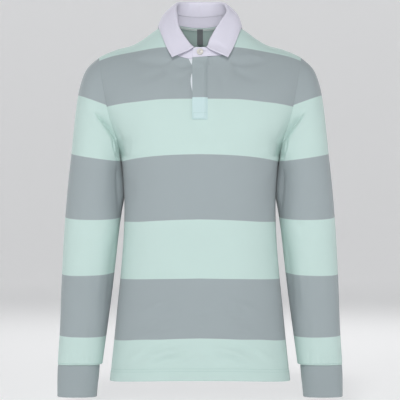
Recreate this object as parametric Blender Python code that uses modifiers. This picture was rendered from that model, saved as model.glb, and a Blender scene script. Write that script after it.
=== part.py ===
"""A long-sleeve striped polo shirt, filled out and hollow, as on a wearer who isn't there.

Sizes below are in millimetres and meshes are made in metres. X runs to the wearer's left, the
front faces -Y, +Z is up, and the origin lies where the wearer's neck carries the shirt.
"""

import math

import bmesh
import bpy
import numpy as np
from mathutils import Vector

MM = 0.001

# Walls and seams
JERSEY = 1.4          # body and sleeve cloth
RIB = 2.2             # doubled cuff cloth
TWILL = 1.6           # woven collar cloth with its interlining
THIN = 0.8            # under placket, neck tape and label
SEAM = 0.3            # space left at each seam
RIDGE_SEAM = 0.7      # and on each side of the shoulder seam, where the walls lean together

# Torso: the general figure's outline, from the hem up to the neck
TORSO = {  # height: half width, reach to the front, reach to the back
    -706: (180.0, 114, 116),
    -640: (172.8, 111, 116),
    -560: (165.0, 108, 110),
    -480: (157.0, 108, 102),
    -410: (152.0, 111, 98),
    -350: (151.0, 116, 101),
    -300: (154.0, 121, 107),
    -262: (159.0, 124, 112),
    -232: (171.0, 124, 116),
    -190: (190.0, 122, 119),
    -130: (213.0, 113, 120),
    -64: (235.0, 92, 118),
    0: (250.0, 82, 112),
    40: (256.0, 80, 106),
}
SHOULDER = {  # distance from the middle: height of the shoulder line
    0: 22,
    40: 18,
    66: 9,
    83: -4,
    95: -12,
    111: -24,
    131: -36,
    167: -46.5,
    203: -62.5,
    240: -90,
}
ARMPIT = -262         # height where the armholes end
HEM = -706
HEM_RISE = 7          # the hem lies this much higher at the centre front
RISE_FROM = -420      # the rise starts below this height
RIDGE_BACK = 8        # the shoulder line lies this far behind the side seams
ROUND = 2.5           # superellipse power of a level section
CROWN = 2.6           # superellipse power of the shoulders, front to back
TURN_POWER = 1.3      # spreads the turns over the crown
ARMHOLE = {  # share of the way from armpit to shoulder: distance from the middle
    0.0: 159,
    0.1: 164,
    0.25: 178,
    0.45: 189,
    0.7: 198,
    1.0: 203,
}
BACK_ARMHOLE = 5      # the back's armhole is scooped this much less
NECK = 66             # half width of the neckline
NECK_DROP = (86, 20)  # neckline below the shoulder line at centre front and centre back
NECK_CURVE = (1.6, 2) # how sharply it falls to those, front and back
SLIT = 0.6            # half width of the cut under the placket

# Grid sizes
SHOULDER_COLUMNS = 6  # from the armhole to the neck
NECK_ANGLES = (90, 77, 64, 51, 38, 26)  # columns round the neck, from its side
EDGE_POWER = 3        # how closely the columns gather the armhole's own spacing
YOKE_ROWS = 11        # from the armpits up
WAIST_ROWS = 13       # from the armpits down

# Placket
PLACKET = 15          # half width
PLACKET_END = -191    # height of its lower edge
PLACKET_TOP = 0.12    # its top lies this part of a row below the neck seam
UNDER_END = -188      # and of the white under placket's
UNDER_EDGE = {  # height: reach of the white under placket to the wearer's right
    -190: 14.0,
    -142: 15.5,
    -118: 18.5,
    -94: 16.0,
    -84: 15.5,
    -64: 25.0,
}
UNDER_REACH = 12      # and to the wearer's left, beneath the placket

# Sleeve: the worn left sleeve's silhouette, from the shoulder to the cuff
SLEEVE = (  # outer x and z, inner x and z, half depth, middle y
    (203, -62.5, 159.0, -262, 62, 4),
    (227, -86, 158.7, -272, 63, 4),
    (240, -120, 157.3, -285, 64, 3),
    (247, -160, 156.4, -300, 63, 3),
    (252, -205, 156.0, -318, 62, 2),
    (257, -255, 156.4, -340, 60, 1),
    (264, -320, 158.6, -370, 58, 0),
    (270, -395, 162.5, -415, 55, -2),
    (274, -465, 168.5, -470, 52, -4),
    (277, -535, 176.0, -535, 47, -7),
    (279, -600, 184.5, -600, 42, -11),
    (282, -650, 191.5, -650, 37, -15),
    (283, -667, 195.0, -667, 34, -17),
    (283, -674, 200.5, -674, 30, -18),
)
SLEEVE_STEPS = 2      # rows to each line of the table
CLOSE_ROWS = 9        # rows over which the sleeve leaves the armhole's own shape
CUFF = (  # outer x, inner x, z, half depth, middle y
    (283.0, 200.5, -674.6, 30, -18),
    (283.6, 201.5, -696, 29.5, -19),
    (283.8, 203.5, -717, 29, -20),
    (283.5, 205.0, -737.5, 28.5, -21),
)
SLEEVE_ROUND = 2.15   # superellipse power of a sleeve section
CREASES = (  # places round the ring from the armpit (0) to the shoulder (1), rows, width, depth
    {"name": "drag", "start": (0.62, 1.5), "end": (0.10, 7.0), "width": 0.085, "depth": 4.0},
    {"name": "underarm", "start": (0.30, 3.0), "end": (0.22, 12.0), "width": 0.07, "depth": 3.0},
    {"name": "back_drag", "start": (-0.55, 2.0), "end": (-0.12, 8.0), "width": 0.09, "depth": 4.0},
    {"name": "elbow", "start": (0.15, 14.5), "end": (0.75, 16.0), "width": 0.10, "depth": 2.0},
)

# Collar
ROLL = {  # angle round the neck from the centre front: roll line x, y, z
    0: (0.0, -75.0, -46.5),
    10: (12.0, -73.5, -45.5),
    27: (28.5, -62.0, -27.0),
    45: (42.5, -43.0, -3.0),
    70: (48.5, -14.0, 27.0),
    95: (49.5, 10.0, 44.0),
    120: (44.5, 33.0, 51.5),
    150: (26.5, 51.0, 54.0),
    180: (0.0, 57.0, 54.5),
}
STAND_SHARE = {0: 0.95, 9: 0.90, 30: 0.88, 60: 0.75, 110: 0.55, 180: 0.52}  # stand's part of the rise
STAND_END = 12.5      # the stand's ends pass the centre front by this angle
STAND_CORNER = (0.35, 8)  # the share its end corners are cut down by, and over what angle
LAP = 2.4             # the end that laps over lies this far in front
LAP_FADE = (12, 42)   # angles between which it goes back to the neckline
FOOT_GAP = 0.7        # the stand's foot above the neckline
LAP_RISE = 0.6        # more of it for each millimetre that the end laps forward
FOLD = 3.4            # radius of the fall's fold
FOLD_TURNS = (0, 35, 70, 105, 140)  # angles of its rows
FALL_ROWS = 6         # from the fold to the outer edge
FALL_LEAVE = 50       # the fall leaves the fold this many degrees below level
FALL_END = 10         # angle of the fall's front edges
FALL_EDGE = {  # angle: distance from the middle, and turn over the shoulder (front -, back +)
    10: (54.0, -0.485),
    25: (62.5, -0.420),
    45: (71.0, -0.320),
    70: (79.0, -0.165),
    90: (83.0, -0.020),
    110: (81.5, 0.090),
    130: (69.0, 0.170),
    150: (47.0, 0.235),
    180: (0.0, 0.270),
}
FALL_LIFT = 3.4       # the fall's outer face above the cloth it lies on
FALL_BULGE = {0: 0, 25: 2.0, 50: 4.5, 75: 7.0, 110: 5.5, 180: 3.5}  # angle: crown of the fall
COLLAR_STEP = 8       # angle between the collar's columns

# Button, neck tape and label
BUTTON = {"radius": 6.5, "thick": 2.4, "rim": 0.7, "hole": 0.9, "hole_at": 1.7}
BUTTON_STEPS = 24     # facets round the button
BUTTON_HEIGHT = -54.5
TAPE_ROWS = 0.32      # the tape's depth, in rows of the back
TAPE_TOP = 0.03       # its top lies this part of a row below the neck seam
LABEL_HALF = 6        # half the label's width
LABEL_ROWS = (2.2, 2, 1, 0.32, 0.06)  # its own rows, in rows of the back below the neck seam

COLOURS = {  # name: sRGB colour, roughness
    "mint": ((0.78, 0.87, 0.85), 0.85),
    "grey": ((0.64, 0.68, 0.69), 0.85),
    "white": ((0.88, 0.88, 0.92), 0.80),
    "tape_mint": ((0.74, 0.84, 0.82), 0.85),
    "charcoal": ((0.22, 0.23, 0.25), 0.70),
    "cream": ((0.82, 0.80, 0.74), 0.35),
}


def smooth(at, table):
    """Values at `at` on a smooth curve through the table's rows (cubic, parabolic slopes)."""
    if isinstance(table, dict):
        knots = np.array(sorted(table), float)
        values = np.array([table[k] for k in sorted(table)], float)
    else:
        knots = np.arange(len(table), dtype=float)
        values = np.array(table, float)
    if values.ndim == 1:
        return smooth(at, {k: (v,) for k, v in zip(knots, values)})[..., 0]
    at = np.clip(np.asarray(at, float), knots[0], knots[-1])
    step = np.diff(knots)[:, None]
    rate = np.diff(values, axis=0) / step
    slope = np.vstack([rate[:1], rate[:1], rate[1:]])[: len(knots)]
    slope[1:-1] = (rate[:-1] * step[1:] + rate[1:] * step[:-1]) / (step[:-1] + step[1:])
    slope[-1] = rate[-1]
    k = np.clip(np.searchsorted(knots, at, side="right") - 1, 0, len(knots) - 2)
    h = step[k]
    t = (at - knots[k])[..., None] / h
    return (
        (1 + 2 * t) * (1 - t) ** 2 * values[k]
        + t * (1 - t) ** 2 * h * slope[k]
        + t * t * (3 - 2 * t) * values[k + 1]
        + t * t * (t - 1) * h * slope[k + 1]
    )


def unit(v):
    return v / np.linalg.norm(v, axis=-1, keepdims=True)


def mix(a, b, share):
    return a + (b - a) * share


# Torso form

def level(height, angle, back):
    """Points of a level section. The angle runs from 0 at the middle to 90 degrees at the side seam."""
    half, front, rear = np.moveaxis(smooth(height, TORSO), -1, 0)
    reach = rear if back else -front
    x = half * np.sin(angle) ** (2 / ROUND)
    y = reach * np.cos(angle) ** (2 / ROUND)
    rise = 0 if back else HEM_RISE
    lift = rise * np.cos(angle) ** 2 * np.clip((RISE_FROM - height) / (RISE_FROM - HEM), 0, 1)
    return np.stack([x, y, height + lift], -1)


def chart(x, turn):
    """Point of the torso above the armpits: x across, and turn from -1 at the front's armpit
    level, over 0 at the shoulder line, to +1 at the back's armpit level."""
    x, turn = np.broadcast_arrays(np.asarray(x, float), np.asarray(turn, float))
    arc = math.pi / 2 * np.clip(1 - np.abs(turn), 0, 1) ** TURN_POWER
    rise = np.sin(arc) ** (2 / CROWN)
    depth = np.maximum(np.cos(arc), 0) ** (2 / CROWN)
    z = ARMPIT + (smooth(np.abs(x), SHOULDER) - ARMPIT) * rise
    half, front, rear = np.moveaxis(smooth(z, TORSO), -1, 0)
    across = np.maximum(1 - (np.abs(x) / half) ** ROUND, 0) ** (1 / ROUND)
    middle = RIDGE_BACK * rise
    reach = np.where(turn < 0, -front - middle, rear - middle)
    return np.stack([x, middle + reach * across * depth, z], -1)


def chart_normal(x, turn):
    step_x, step_turn = 0.5, 0.01
    along = chart(x + step_x, turn) - chart(x - step_x, turn)
    over = chart(x, turn + step_turn) - chart(x, turn - step_turn)
    return unit(np.cross(along, over))


def share_at(height, ridge):
    """Share of the way up the chart, from 0 at the armpits to 1 at the shoulder line."""
    rise = np.clip((height - ARMPIT) / (ridge - ARMPIT), 0, 1)
    return (np.arcsin(rise ** (CROWN / 2)) / (math.pi / 2)) ** (1 / TURN_POWER)


def neck_turn(angle, back):
    """Turn of the neckline at an angle from the middle (0) to the side (90 degrees)."""
    side = 1 if back else 0
    drop = NECK_DROP[side] * np.cos(angle) ** NECK_CURVE[side]
    ridge = smooth(NECK * np.sin(angle), SHOULDER)
    share = share_at(ridge - drop, ridge)
    return (1 - share) * (1 if back else -1)


def neckline(degrees):
    """Point of the neckline, from 0 at the centre front round by the wearer's left."""
    degrees = (np.asarray(degrees, float) + 180) % 360 - 180
    angle = np.radians(np.abs(degrees))
    back = angle > math.pi / 2
    fold = np.where(back, math.pi - angle, angle)
    turn = np.where(back, neck_turn(fold, True), neck_turn(fold, False))
    return chart(NECK * np.sin(fold) * np.sign(degrees), turn)


def neck_foot(degrees):
    """Point of the neck seam on the straight edges between the panels' own points."""
    quarter = np.degrees(np.arcsin(np.array([SLIT, PLACKET]) / NECK)).tolist()
    quarter += sorted(NECK_ANGLES)
    knots = np.array(quarter + [180 - a for a in quarter[-2::-1]])
    knots[-1] = 180
    knots = np.concatenate([-knots[::-1], knots])
    degrees = (np.asarray(degrees, float) + 180) % 360 - 180
    points = neckline(knots)
    return np.stack([np.interp(degrees, knots, points[:, i]) for i in range(3)], -1)


def armhole_x(share, back):
    return smooth(share, ARMHOLE) + (BACK_ARMHOLE * np.sin(math.pi * share) if back else 0)


def armhole_shares(rows):
    """Shares of the way up the armhole that part it into equal lengths."""
    fine = np.linspace(0, 1, 400) ** 2
    points = chart(armhole_x(fine, False), fine - 1)
    length = np.concatenate([[0], np.cumsum(np.linalg.norm(np.diff(points, axis=0), axis=1))])
    return np.interp(np.linspace(0, length[-1], rows + 1), length, fine)


def half_panel(back):
    """Half of the front or back: rows from the hem up, columns from the side to the middle."""
    neck = np.radians(np.array(NECK_ANGLES))
    middle = 0.0 if back else SLIT
    shares = armhole_shares(YOKE_ROWS)
    top_x = np.concatenate([
        np.linspace(armhole_x(1.0, back), NECK, SHOULDER_COLUMNS + 1)[:-1],
        NECK * np.sin(neck),
        [PLACKET, middle],
    ])
    top_angle = np.concatenate([neck, np.arcsin(np.array([PLACKET, middle]) / NECK)])
    top_share = np.concatenate([
        np.ones(SHOULDER_COLUMNS), 1 - np.abs(neck_turn(top_angle, back))
    ])
    columns = len(top_x)
    half = armhole_x(0.0, back)
    inner = math.asin((PLACKET / half) ** (ROUND / 2))
    angles = np.linspace(math.pi / 2, inner, columns - 1)
    base_x = np.append(half * np.sin(angles) ** (2 / ROUND), middle)
    edge = np.clip(1 - (base_x[0] - base_x) / (base_x[0] - PLACKET), 0, 1)
    yoke = []
    for row, share in enumerate(shares):
        v = row / YOKE_ROWS
        x = mix(base_x, top_x, v) + edge * (armhole_x(share, back) - mix(base_x[0], top_x[0], v))
        up = v * top_share + edge ** EDGE_POWER * (share - v)
        yoke.append(chart(x, (1 - up) * (1 if back else -1)))
    heights = np.linspace(HEM, ARMPIT, WAIST_ROWS + 1)[:-1]
    side = np.arcsin((base_x / half) ** (ROUND / 2))
    waist = [level(np.full(columns, h), side, back) for h in heights]
    return np.array(waist + yoke)


def panel(back):
    """The whole front or back, columns from the wearer's right side to the left."""
    half = half_panel(back)
    other = half * np.array([-1, 1, 1])
    keep = half[:, ::-1] if not back else half[:, -2::-1]
    return np.concatenate([other, keep], axis=1)


def drawn_in(grid, shoulder):
    """The panel with its sides and shoulders drawn in by the seam's space."""
    grid = grid.copy()
    for edge, inside in ((0, 1), (-1, -2)):
        grid[:, edge] += SEAM * unit(grid[:, inside] - grid[:, edge])
    for columns in (slice(0, shoulder + 1), slice(-shoulder - 1, None)):
        grid[-1, columns] += RIDGE_SEAM * unit(grid[-2, columns] - grid[-1, columns])
    return grid


# Sleeves and cuffs

def armhole_ring():
    """The left armhole, from the armpit up the front to the shoulder and down the back."""
    shares = armhole_shares(YOKE_ROWS)
    front = chart(armhole_x(shares, False), shares - 1)
    back = chart(armhole_x(shares, True), 1 - shares)
    return np.concatenate([front, back[-2:0:-1]])


def ring(outer, inner, depth, middle, turns):
    """Oval section from the inner point round by the front to the outer point."""
    outer, inner = np.asarray(outer, float), np.asarray(inner, float)
    across = -np.sign(np.cos(turns)) * np.abs(np.cos(turns)) ** (2 / SLEEVE_ROUND)
    deep = -np.sign(np.sin(turns)) * np.abs(np.sin(turns)) ** (2 / SLEEVE_ROUND) * depth
    points = (outer + inner) / 2 + across[:, None] * (outer - inner) / 2
    points[:, 1] += middle + deep
    return points


def crease_depth(place, row):
    """How far the creases draw a sleeve's wall in, at places round the ring and a row."""
    total = np.zeros_like(place)
    for crease in CREASES:
        (start, first), (end, last) = crease["start"], crease["end"]
        along = (row - first) / (last - first)
        if not 0 < along < 1:
            continue
        off = (place - mix(start, end, along)) / crease["width"]
        total += crease["depth"] * np.sin(math.pi * along) * np.exp(-off ** 2)
    return total


def sleeve():
    """Rows of the left sleeve from the armhole to the cuff."""
    opening = armhole_ring() + np.array([1.5 * SEAM, 0, 0])
    count = len(opening)
    turns = np.arange(count) * 2 * math.pi / count
    place = np.where(turns > math.pi, turns - 2 * math.pi, turns) / math.pi
    rows = []
    for row in range((len(SLEEVE) - 1) * SLEEVE_STEPS + 1):
        ox, oz, ix, iz, depth, middle = smooth(row / SLEEVE_STEPS, SLEEVE)
        points = ring((ox, 0, oz), (ix, 0, iz), depth, middle, turns)
        if row == 0:
            drift = opening - points
        fade = np.clip(1 - row / CLOSE_ROWS, 0, 1)
        points += drift * fade ** 2 * (3 - 2 * fade)
        centre = points.mean(axis=0)
        points += unit(centre - points) * crease_depth(place, float(row))[:, None]
        rows.append(points)
    return np.array(rows)


def cuff():
    turns = np.arange(2 * YOKE_ROWS) * math.pi / YOKE_ROWS
    return np.array([
        ring((ox, 0, z), (ix, 0, z), depth, middle, turns)
        for ox, ix, z, depth, middle in CUFF
    ])


# Collar

def roll(degrees):
    degrees = (np.asarray(degrees, float) + 180) % 360 - 180
    points = smooth(np.abs(degrees), ROLL)
    points[..., 0] *= np.where(degrees < 0, -1, 1)
    return points


def fold_frame(degrees):
    """Directions at the roll line: outward and level, and upward across the fold."""
    along = unit(roll(degrees + 1.0) - roll(degrees - 1.0))
    outward = unit(np.cross(along, np.array([0, 0, 1.0])))
    upward = unit(np.cross(outward, along))
    return outward, upward


def stand_line(degrees):
    """Top edge of the stand's outer face."""
    outward, upward = fold_frame(degrees)
    foot = neck_foot(degrees)
    crest = roll(degrees) - FOLD * upward - (FOLD - TWILL) * outward
    around = np.abs((np.asarray(degrees, float) + 180) % 360 - 180)
    return foot, crest, smooth(around, STAND_SHARE)[..., None]


def collar_angles(start, end):
    count = math.ceil((end - start) / COLLAR_STEP)
    return np.linspace(start, end, count + 1)


def stand():
    """Rows from the neck seam up, columns from the end that laps over, round by the left."""
    degrees = collar_angles(-STAND_END, 360 + STAND_END)
    foot, crest, share = stand_line(degrees)
    top = mix(foot, crest, share)
    outward, _ = fold_frame(degrees)
    lap = LAP * np.clip((LAP_FADE[1] - degrees) / (LAP_FADE[1] - LAP_FADE[0]), 0, 1) ** 1.5
    from_end = np.minimum(degrees + STAND_END, 360 + STAND_END - degrees)
    corner = 1 - STAND_CORNER[0] * np.clip(1 - from_end / STAND_CORNER[1], 0, 1) ** 2
    rows = []
    for share in (0.0, 0.5, 1.0):
        height = share * corner[:, None]
        points = mix(foot, top, height) + outward * lap[:, None]
        points += unit(top - foot) * (FOOT_GAP + LAP_RISE * lap[:, None]) * (1 - share)
        rows.append(points)
    return np.array(rows)


def fall():
    """Rows from the stand's top, over the fold and down to the outer edge."""
    degrees = collar_angles(FALL_END, 360 - FALL_END)
    foot, crest, share = stand_line(degrees)
    outward, upward = fold_frame(degrees)
    top = mix(foot, crest, share)
    centre = roll(degrees) - FOLD * upward
    rows = [top + 2.5 * SEAM * unit(crest - foot) - TWILL * outward]
    for turn in np.radians(FOLD_TURNS):
        rows.append(centre + FOLD * (upward * math.sin(turn) - outward * math.cos(turn)))
    around = 180 - np.abs(degrees - 180)
    x, over = np.moveaxis(smooth(around, FALL_EDGE), -1, 0)
    x = x * np.where(degrees > 180, -1, 1)
    edge = chart(x, over) + FALL_LIFT * chart_normal(x, over)
    last = rows[-1]
    span = np.linalg.norm(edge - last, axis=1)[:, None]
    down = math.radians(FALL_LEAVE)
    leave = outward * math.cos(down) - upward * math.sin(down)
    leave = unit(leave + 0.8 * unit(edge - last)) * span * 0.9
    arrive = (edge - last) * 0.9
    crown = smooth(around, FALL_BULGE)[:, None] * chart_normal(x, over)
    for t in np.linspace(0, 1, FALL_ROWS + 1)[1:]:
        rows.append(
            (1 + 2 * t) * (1 - t) ** 2 * last
            + t * (1 - t) ** 2 * leave
            + t * t * (3 - 2 * t) * edge
            + t * t * (t - 1) * arrive
            + math.sin(math.pi * t) * crown
        )
    return np.array(rows)


# Pieces on the panels

def along_row(points, x):
    """Points at x on one row of a panel."""
    order = np.argsort(points[:, 0])
    xs = points[order, 0]
    return np.stack([x, np.interp(x, xs, points[order, 1]), np.interp(x, xs, points[order, 2])], -1)


def grid_normals(grid):
    across = np.gradient(grid, axis=1)
    up = np.gradient(grid, axis=0)
    return unit(np.cross(across, up))


def at_height(panel_grid, x, height):
    """Points of a panel at the places x across and one height."""
    found = []
    for place in x:
        line = np.concatenate([along_row(row, np.array([place])) for row in panel_grid])
        order = np.argsort(line[:, 2])
        found.append([np.interp(height, line[order, 2], line[order, i]) for i in range(3)])
    return np.array(found)


def strip_on(panel_grid, rows, across, lift, end=None):
    """Strip from a panel's rows, at the places across given for each, moved out by lift.
    With an end, the strip starts level at that height."""
    points = [] if end is None else [at_height(panel_grid, across[0], end)]
    for row, x in zip(rows, across):
        low = panel_grid[int(row)]
        high = panel_grid[min(int(row) + 1, len(panel_grid) - 1)]
        points.append(mix(along_row(low, x), along_row(high, x), row - int(row)))
    points = np.array(points)
    return points + lift * grid_normals(points)


# Meshes

def material(name, colour, roughness):
    made = bpy.data.materials.new(name)
    made.use_nodes = True
    shader = made.node_tree.nodes["Principled BSDF"]
    linear = [((c + 0.055) / 1.055) ** 2.4 for c in colour]
    shader.inputs["Base Color"].default_value = (*linear, 1)
    shader.inputs["Roughness"].default_value = roughness
    shader.inputs["Metallic"].default_value = 0
    made.diffuse_color = (*linear, 1)
    return made


def add_cloth(name, grid, wall, colour, closed=False, flip=False, skip=()):
    """A sheet through the grid's points, given its wall on the inner side."""
    rows, columns = grid.shape[:2]
    mesh = bpy.data.meshes.new(name)
    faces = []
    for r in range(rows - 1):
        for c in range(columns if closed else columns - 1):
            if (r, c) in skip:
                continue
            n = (c + 1) % columns
            face = [r * columns + c, r * columns + n, (r + 1) * columns + n, (r + 1) * columns + c]
            faces.append(face[::-1] if flip else face)
    mesh.from_pydata((grid.reshape(-1, 3) * MM).tolist(), [], faces)
    mesh.shade_smooth()
    piece = bpy.data.objects.new(name, mesh)
    shirt.objects.link(piece)
    mesh.materials.append(colour)
    shell = piece.modifiers.new("wall", "SOLIDIFY")
    shell.thickness = wall * MM
    shell.offset = -1
    shell.use_quality_normals = True
    return piece


def add_button(colour, place, facing):
    """A turned disc with a rim and four holes."""
    radius, thick = BUTTON["radius"] * MM, BUTTON["thick"] * MM
    rim = BUTTON["rim"] * MM
    dish = thick * 0.75
    profile = (
        (0, dish),
        (radius * 0.62, dish),
        (radius * 0.74, thick),
        (radius - rim, thick),
        (radius, thick - rim),
        (radius, rim),
        (radius - rim, 0),
        (0, 0),
    )
    mesh = bpy.data.meshes.new("button")
    edges = [(i, i + 1) for i in range(len(profile) - 1)]
    mesh.from_pydata([(x, 0, z) for x, z in profile], edges, [])
    disc = bpy.data.objects.new("button", mesh)
    shirt.objects.link(disc)
    turned = disc.modifiers.new("turn", "SCREW")
    turned.steps = BUTTON_STEPS
    turned.render_steps = BUTTON_STEPS
    turned.use_merge_vertices = True
    turned.merge_threshold = 0.00001
    mesh.materials.append(colour)
    tool_mesh = bpy.data.meshes.new("button_holes")
    bm = bmesh.new()
    for k in range(4):
        drill = bmesh.ops.create_cone(
            bm, cap_ends=True, segments=10, radius1=BUTTON["hole"] * MM,
            radius2=BUTTON["hole"] * MM, depth=4 * thick,
        )
        angle = math.pi / 4 + k * math.pi / 2
        reach = BUTTON["hole_at"] * MM
        shift = (math.cos(angle) * reach, math.sin(angle) * reach, 0)
        bmesh.ops.translate(bm, verts=drill["verts"], vec=shift)
    bm.to_mesh(tool_mesh)
    bm.free()
    tool = bpy.data.objects.new("button_holes", tool_mesh)
    cutters.objects.link(tool)
    tool.hide_render = True
    tool.display_type = "WIRE"
    cut = disc.modifiers.new("holes", "BOOLEAN")
    cut.object = tool
    cut.operation = "DIFFERENCE"
    tool.parent = disc
    disc.rotation_euler = Vector(facing).to_track_quat("Z", "Y").to_euler()
    disc.location = Vector(place) * MM
    return disc


for old in list(bpy.data.objects):
    bpy.data.objects.remove(old)
shirt = bpy.data.collections.new("polo_shirt")
cutters = bpy.data.collections.new("cutters")
bpy.context.scene.collection.children.link(shirt)
bpy.context.scene.collection.children.link(cutters)
cutters.hide_render = True
paint = {name: material(name, *look) for name, look in COLOURS.items()}

front_grid = drawn_in(panel(False), SHOULDER_COLUMNS)
back_grid = drawn_in(panel(True), SHOULDER_COLUMNS)
middle_column = front_grid.shape[1] // 2 - 1
neck_row = len(front_grid) - 1
slit_start = int(np.searchsorted(front_grid[:, middle_column, 2], PLACKET_END)) + 1
slit = [(row, middle_column) for row in range(slit_start, neck_row)]
add_cloth("front", front_grid, JERSEY, paint["mint"], skip=slit)
add_cloth("back", back_grid, JERSEY, paint["grey"], flip=True)

sleeve_grid = sleeve()
cuff_grid = cuff()
mirror = np.array([-1, 1, 1])
add_cloth("sleeve_left", sleeve_grid, JERSEY, paint["mint"], closed=True, flip=True)
add_cloth("sleeve_right", sleeve_grid * mirror, JERSEY, paint["mint"], closed=True)
add_cloth("cuff_left", cuff_grid, RIB, paint["grey"], closed=True, flip=True)
add_cloth("cuff_right", cuff_grid * mirror, RIB, paint["grey"], closed=True)

rows = [*range(slit_start, neck_row), neck_row - PLACKET_TOP]
heights = [front_grid[int(r), middle_column, 2] for r in rows]
under_across = [np.array([-smooth(h, UNDER_EDGE), -SLIT, UNDER_REACH]) for h in heights]
over_across = [np.array([-PLACKET, 0, PLACKET])] * len(rows)
under_lift = 1.5 * SEAM + THIN
over_lift = under_lift + 1.5 * SEAM + TWILL
under = strip_on(front_grid, rows, under_across, under_lift, UNDER_END)
over = strip_on(front_grid, rows, over_across, over_lift, PLACKET_END)
add_cloth("placket_under", under, THIN, paint["white"])
add_cloth("placket", over, TWILL, paint["mint"])

stand_grid = stand()
add_cloth("collar_stand", stand_grid, TWILL, paint["white"])
add_cloth("collar_fall", fall(), TWILL, paint["white"], flip=True)

# The tape lies inside the back along the neck seam, and the label hangs over it
tape_x = back_grid[-1, SHOULDER_COLUMNS + 1:-SHOULDER_COLUMNS - 1, 0]
tape_rows = [neck_row - TAPE_ROWS, neck_row - TAPE_ROWS / 2, neck_row - TAPE_TOP]
tape_lift = JERSEY + 2 * SEAM + THIN
tape = strip_on(back_grid, tape_rows, [tape_x] * len(tape_rows), tape_lift)
label_rows = [neck_row - below for below in LABEL_ROWS]
label_x = np.array([-LABEL_HALF, 0, LABEL_HALF])
label = strip_on(back_grid, label_rows, [label_x] * len(label_rows), tape_lift + SEAM + THIN)
add_cloth("neck_tape", tape, THIN, paint["tape_mint"])
add_cloth("label", label, THIN, paint["charcoal"])

# The button sits on the lapping end of the stand, which is the first few columns
middle = np.array([along_row(row[:6], np.array([0.0]))[0] for row in stand_grid])
rising = unit(middle[-1] - middle[0])
facing = np.array([0, -rising[2], rising[1]])
seat = middle[1] + (BUTTON_HEIGHT - middle[1, 2]) / rising[2] * rising + 1.5 * SEAM * facing
add_button(paint["cream"], seat, facing)
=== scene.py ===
import math

import bpy
import numpy as np
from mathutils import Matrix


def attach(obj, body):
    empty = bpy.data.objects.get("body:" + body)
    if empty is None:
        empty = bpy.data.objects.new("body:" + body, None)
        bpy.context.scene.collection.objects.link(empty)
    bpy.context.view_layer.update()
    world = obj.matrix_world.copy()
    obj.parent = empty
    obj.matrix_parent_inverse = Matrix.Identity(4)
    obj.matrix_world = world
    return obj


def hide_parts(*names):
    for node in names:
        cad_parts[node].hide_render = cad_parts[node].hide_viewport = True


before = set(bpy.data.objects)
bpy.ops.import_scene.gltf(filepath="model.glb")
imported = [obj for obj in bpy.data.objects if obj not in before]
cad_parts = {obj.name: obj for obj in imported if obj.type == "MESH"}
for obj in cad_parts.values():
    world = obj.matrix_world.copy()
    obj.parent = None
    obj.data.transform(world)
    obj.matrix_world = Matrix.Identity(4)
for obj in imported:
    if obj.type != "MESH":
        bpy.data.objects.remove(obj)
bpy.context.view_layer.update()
print("frame loaded")

mm = 0.001  # the tables below are in millimetres

cameraSet = {"distance": 4.0, "height": -0.347, "seen": 0.8, "sensor": 36.0}
camera = bpy.data.objects.new("camera", bpy.data.cameras.new("camera"))
camera.data.sensor_width = cameraSet["sensor"]
camera.data.lens = cameraSet["sensor"] * cameraSet["distance"] / cameraSet["seen"]
camera.location = (0, -cameraSet["distance"], cameraSet["height"])
camera.rotation_euler = (math.pi / 2, 0, 0)
bpy.context.scene.collection.objects.link(camera)
bpy.context.scene.camera = camera


# Curves and grids

# Cubic through a table's rows, each slope being that of the parabola through three of them
def curve(at, table):
    if isinstance(table, dict):
        knots = np.array(sorted(table), float)
        values = np.array([table[k] for k in sorted(table)], float)
    else:
        knots = np.arange(len(table), dtype=float)
        values = np.array(table, float)
    if values.ndim == 1:
        return curve(at, {k: (v,) for k, v in zip(knots, values)})[..., 0]
    at = np.clip(np.asarray(at, float), knots[0], knots[-1])
    step = np.diff(knots)[:, None]
    rate = np.diff(values, axis=0) / step
    slope = np.vstack([rate[:1], rate[:1], rate[1:]])[: len(knots)]
    slope[1:-1] = (rate[:-1] * step[1:] + rate[1:] * step[:-1]) / (step[:-1] + step[1:])
    slope[-1] = rate[-1]
    k = np.clip(np.searchsorted(knots, at, side="right") - 1, 0, len(knots) - 2)
    h = step[k]
    t = (at - knots[k])[..., None] / h
    return (
        (1 + 2 * t) * (1 - t) ** 2 * values[k]
        + t * (1 - t) ** 2 * h * slope[k]
        + t * t * (3 - 2 * t) * values[k + 1]
        + t * t * (t - 1) * h * slope[k + 1]
    )


def unit(v):
    return v / np.maximum(np.linalg.norm(v, axis=-1, keepdims=True), 1e-12)


def mix(a, b, share):
    return a + (b - a) * share


def ease(share):
    share = np.clip(share, 0, 1)
    return share * share * (3 - 2 * share)


# Normal of a grid: the step across, crossed with the step up
def gridNormals(grid, closed=False, flip=False):
    if closed:
        across = np.roll(grid, -1, 1) - np.roll(grid, 1, 1)
    else:
        across = np.gradient(grid, axis=1)
    return unit(np.cross(across, np.gradient(grid, axis=0))) * (-1 if flip else 1)


# Distances along the rows from the middle column, and up the columns from the first row
def gridLengths(grid, closed=False):
    wide = np.concatenate([grid, grid[:, :1]], 1) if closed else grid
    across = np.linalg.norm(np.diff(wide, axis=1), axis=2).cumsum(1)
    across = np.pad(across, ((0, 0), (1, 0)))
    middle = 0 if closed else wide.shape[1] // 2
    up = np.pad(np.linalg.norm(np.diff(wide, axis=0), axis=2).cumsum(0), ((1, 0), (0, 0)))
    return across - across[:, middle : middle + 1], up


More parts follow.
